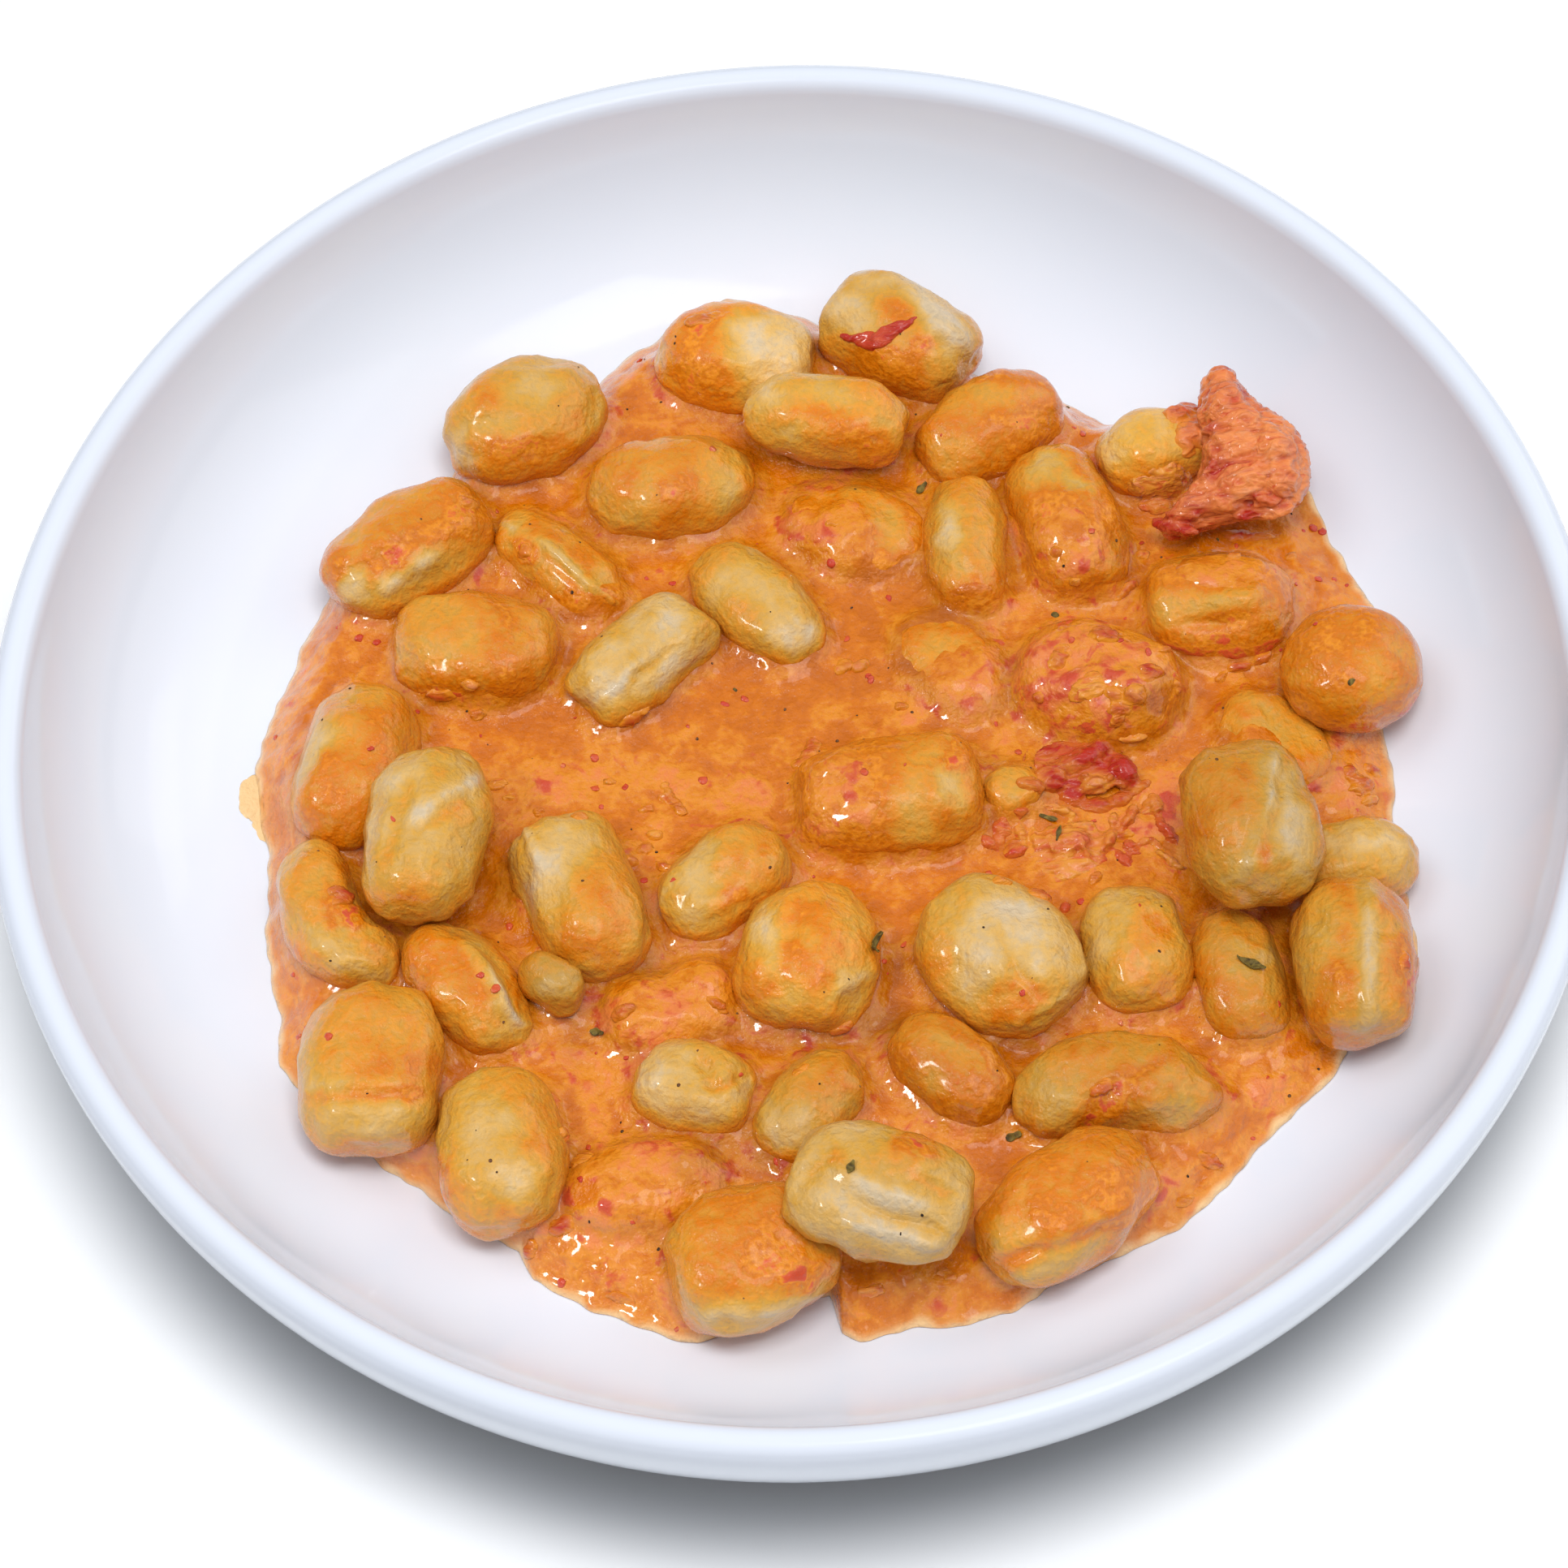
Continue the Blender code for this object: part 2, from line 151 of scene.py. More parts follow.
SAUCE_CLIMB = 2.0  # how far it climbs the side of a gnocco
SAUCE_CLIMB_WIDTH = 1.7
CLIMB_SEARCH = 12.0  # how far away a gnocco is looked for
SAUCE_FILM = 0.12  # thickness at the very edge
SAUCE_GAP = 0.06  # left between its underside and the bowl
BARE_DROP = 2.2  # how far it lies under the top of a gnocco that it doesn't cover
COVER_SOFTNESS = 0.12  # of the edges of marks, here and for the tones and the painted shade in the gaps
TONE_SOFTNESS = 0.28
GAP_SHADE_SOFTNESS = 0.3
TONE_WARP = 2.5  # how far the edges of its patches wander
# Painted shade: the sauce is painted darker, by CROWD_SHADE, in low places where gnocchi crowd round a gap
CROWD_ROUNDS = 50  # rounds of blurring that find where gnocchi crowd round a gap
CROWD_SHADE = 0.22
THIN_EDGE = 2.6  # width of the rim where it runs out thin
PALE_EDGE = 1.1  # width of the film of oil at the rim
SAUCE_SOFTNESS = 1.2  # how roundly it runs over what it covers

# Tone of the sauce in places: 0 is clear orange oil, 0.5 plain sauce and 1 pink with tomato.
# (x, y, half width, half depth, turn, tone), read on the plate
SAUCE_TONES = (
    (-22, 11, 27, 7, 3, 0.0), (0, 27, 22, 8, -8, 0.12), (20, 36, 14, 5, -30, 0.1), (-2, 70, 9, 5, 60, 0.3),
    (-24, 80, 7, 12, 20, 0.7), (42, 57, 10, 8, 0, 0.75), (6, 50, 9, 6, 0, 0.85), (32, 12, 14, 9, 0, 0.7),
    (0, -8, 22, 7, 10, 0.75), (-36, 2, 18, 6, 20, 0.7), (58, -12, 9, 7, 0, 0.9),
    (-30, -50, 16, 8, 30, 0.85), (-33, -62, 12, 9, 0, 0.8), (5, -52, 14, 7, -30, 0.9),
    (-14, -70, 12, 6, -10, 0.8), (-28, -86, 14, 6, -20, 0.85), (24, -93, 14, 5, 10, 0.6),
    (64, -62, 12, 8, 30, 0.8), (60, -76, 10, 5, 40, 0.7), (92, -8, 6, 8, 0, 0.85), (88, 40, 8, 9, 0, 0.6),
    (-82, 26, 5, 12, -20, 0.6), (14, -34, 8, 14, 0, 0.3), (36, -64, 9, 5, -30, 0.15),
    (48, 34, 7, 10, 0, 0.7), (62, 14, 5, 6, 0, 0.35), (48, 15, 13, 9, -10, 0.95),
    (-52, -56, 5, 5, 0, 0.25), (78, 2, 6, 10, -40, 0.25))

# Painted shade in gaps where the sauce lies low between gnocchi: (x, y, half width, half depth, turn, how
# much darker)
PAINTED_GAP_SHADE = (
    (12, -48, 4.5, 4, 0, 0.42), (34, -50, 4.5, 4, 0, 0.35), (1, -51, 4, 5, 20, 0.17),
    (-38, -45, 3, 5, 0, 0.22), (-7, -47, 4, 5, -10, 0.2), (-18, -69, 4, 4, 0, 0.24),
    (-8, -69, 4, 4, 0, 0.25), (23, -60, 4.5, 3, 10, 0.28), (-14, 54, 5, 4, 0, 0.22),
    (61, 10, 4, 4, 0, 0.22), (14, -37, 4, 4, 0, 0.21), (-28, -34, 4, 3, 0, 0.21),
    (-50, -20, 3, 4, 0, 0.17), (-65, -5, 3, 5, 0, 0.21))

# Drips of oil on the bowl: (x, y) read on the plate, then length, width, thickness and turn
OIL_DRIPS = ((-89, 0.5, 7, 10, 1.1, 0), (-87, -5, 6, 6, 1.0, 0), (-86.5, 4.5, 5, 6, 1.0, 20))

# Sauce that lies over a gnocco, by its number: how thick, and where, as marks (right, up, half width,
# half height, turn). Without marks it lies all over.
SAUCE_OVER = {
    8: (0.5, ((-6, -6, 7, 5, -40), (9, -6, 6, 4, 0))),
    9: (0.5, ((-4, -1, 8, 10, 20),)),
    10: (0.4, ((0, -9, 8, 4, 0),)),
    11: (0.35, ((-1, -5, 9, 9, 10),)),
    13: (0.4, ((1, 6, 11, 4, 0),)),
    14: (0.5, ()),
    15: (0.35, ((-3, -8, 8, 3, 0),)),
    18: (0.3, ((2, -3, 9, 9, 0),)),
    19: (0.5, ((-9, -1, 8, 12, 0),)),
    24: (0.3, ((-4, -2, 7, 7, 0),)),
    27: (0.5, ()),
    31: (0.3, ((0, -3, 5, 3, 0),)),
    38: (0.45, ()),
}

# Coat of sauce on each gnocco: its general strength, then marks (right, up, half width,
# half height, turn, strength). 0 is bare dough, 1 is full sauce and 2 is red tomato.
# A few pale marks below are painted highlights and painted reflections of the sky, as noted.
COATS = {
    1: (0.45, (2, -7, 8, 3.5, 0, 0.85), (9, -2, 3.5, 6, 0, 0.7), (-10.5, -5.5, 1.8, 3, 0, 0.1),
        (4, 6, 4, 3, 0, 0.28), (1, -5, 5, 1.5, 5, 1.2)),
    2: (0.3, (-7, 0, 5, 10, 0, 1.0), (-4, -4, 4, 6, 0, 1.12), (-4, 5.5, 3, 3, 30, 1.7),
        (6, 3, 7, 5, 0, 0.14), (0, 9, 10, 1.5, 0, 0.75)),
    3: (0.42, (-2, 3, 5, 4, 0, 0.85), (-9, 3, 3, 5, 45, 0.12), (7, 2, 2.5, 7, 35, 0.16),
        (-1, -6, 7, 2.5, -20, 1.1), (3, -3, 2, 1.5, 0, 1.3)),
    4: (0.82, (-1, 5, 7, 2.5, 10, 0.55), (5, 1, 5, 2.5, 15, 1.15), (-7, -5, 4, 3, 0, 0.6)),
    5: (0.5, (-9, 4, 2.2, 2.5, 0, 0.12), (3, -2.5, 8, 3, -25, 1.0), (-7, -5, 4, 3, 0, 0.36),
        (6, -4, 3, 1, -30, 1.35)),
    6: (0.68, (-6, -3, 4, 3, 0, 0.5), (1.5, -1, 2.5, 1.8, 0, 1.45), (9, -1, 3, 5, -30, 0.36),
        (-3, 4, 7, 3, 20, 0.75), (3, -4, 4, 2, 0, 0.85)),
    7: (0.68, (-8, -6, 1.5, 3.5, -10, 0.15), (1, -4, 6, 1.5, 35, 0.3), (8, 5, 5, 3, 20, 1.25),
        (-3, 3, 5, 3, 30, 0.85), (-2, -1, 1.5, 1.5, 0, 1.3)),
    # gnocco 8: its first mark, pale along the ridge, is a painted highlight
    8: (0.75, (4, -1, 9, 1.1, -38, 0.38), (-5.5, 3, 1.2, 1.6, 0, 1.8), (-8, 7, 1.4, 1, 0, 0.2),
        (7, -6, 4, 2, -30, 1.2)),
    9: (1.0, (5.5, 2, 2.2, 7, 18, 0.42), (0, 8, 6, 2, 0, 0.6)),
    # gnocco 10: its second mark, pale down the right side, is painted light
    10: (0.7, (-3, 2, 2.2, 5, 5, 0.12), (3, 0, 1.8, 7, 5, 0.6), (0, -9, 5, 4, 0, 1.0)),
    # gnocco 11: its two pale marks at the top are painted reflection of the sky
    11: (0.8, (-5, 9.5, 4, 2, 25, 0.2), (1.5, 6.5, 3.6, 1.4, -38, 0.02), (-1, -4, 8, 8, 0, 1.05)),
    12: (0.34, (2, -6, 7, 4, 0, 1.0), (0, 4, 5, 2, 0, 0.36)),
    13: (0.85, (-6, -1, 5, 3, 10, 0.4), (2, 5, 9, 4, 0, 1.05), (2, -7, 8, 1.5, 0, 1.55),
         (5, -2, 2.5, 3, 0, 0.75)),
    14: (1.15, (-2, 0, 3, 2.5, 0, 0.5), (6, 3, 3, 1.5, -20, 1.9), (5, -5, 4, 2, 10, 0.7),
         (-8, 2, 3, 5, 0, 1.3)),
    15: (0.66, (-3, -8, 6, 3, 0, 1.5), (6, -3, 3, 5, 30, 0.98), (-8, 3, 2, 6, -10, 0.55)),
    16: (0.26, (-3, 0, 4, 1.4, 30, 0.55), (1, 4, 1.3, 4, 15, 0.3), (-7, -3, 1.6, 6, -35, 0.03),
         (1, -7, 4, 1.2, 10, 0.75)),
    17: (0.46, (5, -4, 3, 8, 32, 0.16), (10, -6, 3, 3, 0, 0.02), (-4, -3, 3, 3, 0, 0.6)),
    18: (0.88, (-4, 4, 3, 3.5, 0, 0.35), (3, 0, 4, 5, 20, 0.7)),
    19: (0.85, (-8, 0, 7, 10, 0, 1.0), (5, -2, 4, 7, 0, 0.5), (9.5, 2, 2, 5, 0, 0.22),
         (10, 7, 1.5, 1.5, 0, 1.5), (9, -3, 1.5, 2, 0, 1.0)),
    20: (0.75, (-5.5, 5, 2.2, 7.5, -32, 0.08), (3, 9, 6, 3, 0, 0.75), (-1, -6, 4, 5, -20, 0.82)),
    21: (0.6, (0, -4.5, 7, 1.6, -33, 0.22), (-9, 2, 2, 6, 10, 0.5), (2, 1, 2.5, 2, -40, 1.7)),
    22: (0.45, (-7, 2, 2.4, 9, -28, 0.12), (2, 0, 3.5, 9, -28, 0.85), (4, -7, 3, 3, -30, 1.1),
         (8, -9, 4, 4, 0, 0.7)),
    23: (0.5, (-4, 2, 2.5, 6, 0, 0.22), (4, 4, 4, 4, 0, 0.78), (2, -1, 1.8, 2, 0, 1.15)),
    24: (0.62, (7, 2, 1.5, 6, 30, 0.35)),
    25: (0.72, (6, 2, 1.5, 8, 32, 0.1), (8, -6, 4, 3, 0, 0.3), (1, 2, 3, 6, 10, 0.85)),
    26: (0.58, (-6, 3, 1.9, 6, 14, 0.06), (1, 3, 4, 7, -8, 0.85), (-5, -6, 4, 4, 0, 0.42),
         (3, 0, 1.5, 4, -20, 1.05), (-8, -4, 2, 3, 0, 0.9)),
    27: (0.98, (4, 4, 3, 2, 0, 0.5), (0, -2, 3, 1.5, 0, 1.7), (-6, 0, 3, 2, 0, 1.3)),
    28: (0.12, (-9, 8, 6, 3, 40, 0.5), (-10, -1, 2.5, 5, 0, 0.78), (2, -7, 6.5, 3, 12, 0.9),
         (-2, -12, 10, 2.5, 0, 0.5), (12, 2, 1.5, 8, 12, 0.4), (2, -8.5, 3.5, 1, 10, 1.15),
         (0, 12, 6, 1.4, -10, 0.4)),
    29: (0.4, (1, 3, 4, 3, 0, 0.78), (2, -4, 6, 3.5, 0, 0.7), (-6, 2, 2, 5, 0, 0.3)),
    30: (0.68, (2, 4, 4, 2.5, 0, 0.28), (-5, -1, 3, 5, 0, 0.8), (1, -7, 5, 3, 0, 0.72)),
    31: (0.5, (0, 1, 2.5, 2, 0, 0.35)),
    32: (0.6, (0, -6.5, 10, 2.6, 4, 0.12), (-5, -8, 4, 2.5, -30, 0.5), (2, 3, 7, 5, 0, 0.75),
         (8, -1, 2.5, 3, 0, 0.95), (-9, 0, 1.8, 6, 0, 0.45)),
    33: (0.78, (2, 3, 7, 1.2, -40, 0.55), (6, -6, 2.5, 2, 0, 1.0)),
    34: (0.34, (-6, 2, 2.5, 4, 0, 0.05), (5, 5, 3.4, 2.4, 0, 0.52), (0, -6, 7, 2, 0, 0.25)),
    35: (0.46, (-1, 5, 4, 4, 0, 0.16), (3, -3, 4, 3, 0, 0.18), (-8, -4, 1.8, 2.6, 0, 1.6),
         (-1, -10, 7, 3, 0, 0.68), (2, 11, 5, 2, 0, 0.65), (7, 4, 2, 5, 0, 0.8)),
    36: (0.66, (-9, -1, 4, 5, 0, 0.36), (8, -5, 4, 5, 0, 0.36), (-2, -2, 2.6, 4, -30, 1.45),
         (-3, 5, 4, 2, 20, 0.7), (6, 8, 6, 1.2, -20, 0.75)),
    37: (0.54, (-5, -3, 4, 5, 0, 0.16), (4, 5, 5, 3, 0, 0.75)),
    # gnocco 38: its first mark is a painted highlight
    38: (0.92, (4, -1, 6, 4, 0, 1.1), (-10, 3, 3, 3, 0, 1.6)),
    39: (0.62, (0, 2, 8, 6.5, 0, 0.86), (2, 3, 3, 3, 0, 0.95), (1, -9, 11, 2.6, 8, 0.2),
         (8, -2, 2.4, 1.6, 10, 1.85), (-3, 9, 3, 1.5, 0, 1.0)),
    40: (0.88, (-3, -8, 9, 3, 18, 0.26), (7, 1, 4, 2, 10, 1.15), (-9, -5, 3, 4, 0, 0.6),
         (5, 8, 6, 2, -10, 0.8)),
    41: (0.64, (0, 0, 3, 3, 0, 0.3)),
    42: (0.86, (-6, 4, 4, 6, 20, 0.98)),
    43: (0.48, (1, 4, 7, 1.6, -5, 0.06), (-3, -2, 4, 3, 0, 0.5)),
    44: (0.3, (-3, -11, 10, 2.2, 4, 0.42), (0, -2.5, 8, 2.6, -18, 0.0), (5, 7.5, 5.5, 4, -15, 0.62),
         (6, 8, 2.6, 2.2, -30, 1.75), (9, 2, 4, 3, -30, 0.36), (-11, 2, 2, 6, 0, 0.34)),
    # gnocco 45: its pale marks stand partly for painted reflection of the sky
    45: (0.42, (1, -7, 8, 1.9, 12, 0.66), (-1, 2, 3, 5, 0, 0.1), (6, -4, 3, 4, 0, 0.35),
         (-3, 9, 5, 3, 0, 0.32), (-2, -10, 4, 1.8, 0, 0.8)),
    46: (0.66, (5, 1, 2.6, 10, 14, 0.0), (-3, 6, 5, 4, 0, 0.72), (1.5, -5, 1.5, 4, 20, 0.85),
         (-1, -9, 7, 3, 0, 0.36), (-9, -1, 2.5, 5, 0, 0.75)),
    47: (0.68, (9, -5, 2.4, 5.5, 8, 1.6), (1, 2, 1.4, 9, -4, 0.3), (-7, 3, 2.5, 7, -15, 0.42),
         (2, -8, 6, 3, 0, 0.55)),
}

# How much lighter or darker some gnocchi are painted beside the rest; where they are darker, it is painted
# shade for gnocchi that lie in shade
LIGHTNESS_AND_PAINTED_SHADE = {2: 1.1, 5: 1.08, 12: 1.15, 26: 1.08, 30: 0.88, 33: 0.88, 36: 0.87, 37: 0.9, 41: 0.82,
          44: 0.95, 46: 0.85, 47: 0.92}

# Folds in the dough: (right, up, length, turn, half width, height), with a groove below 0
FOLDS = {
    3: ((6, 3, 16, -48, 1.8, 0.5), (-4, 7, 10, 35, 1.8, 0.4)),
    7: ((1, -4, 13, 35, 1.2, 0.5), (-2, -1, 12, 30, 1.6, -0.5)),
    8: ((4, -1, 18, -38, 1.0, 0.8),),
    13: ((-1, -3, 12, 5, 1.5, -0.8), (2, 1, 10, 10, 1.5, 0.7)),
    14: ((-3, 4, 12, 20, 1.6, -0.7), (4, -1, 8, -30, 1.4, 0.6)),
    15: ((5, 7, 10, -50, 1.4, -0.5),),
    16: ((1, -1, 9, 40, 1.0, -0.5), (-3, -3, 8, 55, 1.0, 0.4)),
    22: ((-7, 9, 9, -60, 0.9, 0.5), (0, 0, 20, -62, 2.0, 0.3)),
    25: ((5, 1, 16, -55, 1.0, 0.7), (8, 1, 14, -55, 1.3, -0.5)),
    26: ((3, 0, 14, -48, 1.4, 0.5), (-3, 2, 16, 72, 1.6, -0.4), (7, -4, 9, 35, 1.0, 0.5)),
    28: ((1, 1, 9, -62, 0.7, -0.45), (5, -4, 8, -40, 0.7, -0.45), (-1, -5, 8, 25, 0.7, -0.35),
         (5, -8, 10, 28, 0.8, 0.4)),
    29: ((3, 5, 8, -40, 0.9, -0.4), (-5, -2, 8, 70, 0.9, -0.35)),
    32: ((0, -3.2, 19, 2, 0.9, -0.7), (0, -1.6, 19, 2, 1.0, 0.35)),
    34: ((2.2, 3.4, 7, -70, 0.9, -0.9), (5, 1.6, 7, 15, 0.8, -0.8)),
    36: ((-3, -3, 10, 62, 1.5, -0.9), (4, 3, 12, 25, 1.2, -0.4)),
    39: ((2, -6, 20, 8, 1.4, 0.4), (3, 1, 9, 20, 2.2, -0.5)),
    40: ((-2, -5, 18, 18, 1.2, -0.6), (6, 0, 8, 25, 1.2, 0.5), (-6, -6, 6, 60, 1.0, -0.5)),
    44: ((3, -3, 15, -20, 0.8, -0.8), (2, -6, 15, -12, 0.9, 0.5), (1, 0.5, 14, -20, 0.9, 0.45),
         (8, 2, 8, -25, 0.9, -0.5), (-8, 5, 8, 40, 0.9, -0.4)),
    45: ((4, 6, 12, 35, 1.2, 0.6), (2, 3, 12, 35, 1.1, -0.7), (-4, 2, 14, 75, 1.3, -0.5),
         (-5, 9, 8, 20, 1.0, 0.4)),
    46: ((1.5, 2, 20, 72, 0.9, 0.5), (3, 2, 20, 74, 1.0, -0.4)),
    47: ((1, 1, 22, 86, 1.3, 0.7), (-5, -2, 14, 70, 1.4, -0.4)),
}
LUMPS = {13: 0.9, 14: 0.9, 18: 0.6, 27: 1.1, 38: 0.7, 42: 0.15, 33: 0.2, 17: 0.25}
PLAIN_LUMPS = 0.95  # height of the broad unevenness of a gnocco
REDDEST_SAUCE = 1.3  # a stronger mark is tomato, which breaks up into flecks
COAT_THICKNESS = 0.25  # of a full coat of sauce on a gnocco
HOLLOW_COAT = 0.4  # how much more sauce gathers in a hollow, by its depth
UNDERSIDE_COAT = 0.2  # how much more sauce is left on steep sides
COAT_WARP = 1.9  # how far the edges of the marks wander
COAT_SOFTNESS = 0.32
WET_COAT = 0.82  # least coat where a gnocco stands in the sauce
WET_HEIGHT = 4.6  # above the level of the sauce
WET_FADE = 3.0
FOLD_WOBBLE = 0.9  # how far a fold wanders from a straight line
FOLD_END = 2  # length over which a fold runs out

# Noise that shapes and colours the food: (size of its lumps, seed) each
DOUGH_NOISE = ((8.0, 0), (3.6, 60), (1.6, 120), (4.5, 240), (3.4, 200), (9.0, 300))
SAUCE_EDGE_NOISE = ((9.0, 5), (3.0, 6))
TONE_NOISE = ((7.0, 11), (2.5, 12), (7.0, 13), (2.5, 14), (11.0, 15), (4.5, 16))
SAUCE_NOISE = ((6.0, 21), (2.8, 22), (1.4, 23), (3.2, 26), (3.0, 24), (7.0, 25), (4.0, 27))
FIBRE_NOISE = ((3.2, 31), (1.6, 32))
FLESH_NOISE = ((5.0, 33), (4.0, 34))
DRIP_NOISE = ((7.0, 0), (3.0, 0))
DRIP_SEED = 300
FIBRE_STRETCH = (1.0, 2.2, 1.5)  # draws noise out into fibres

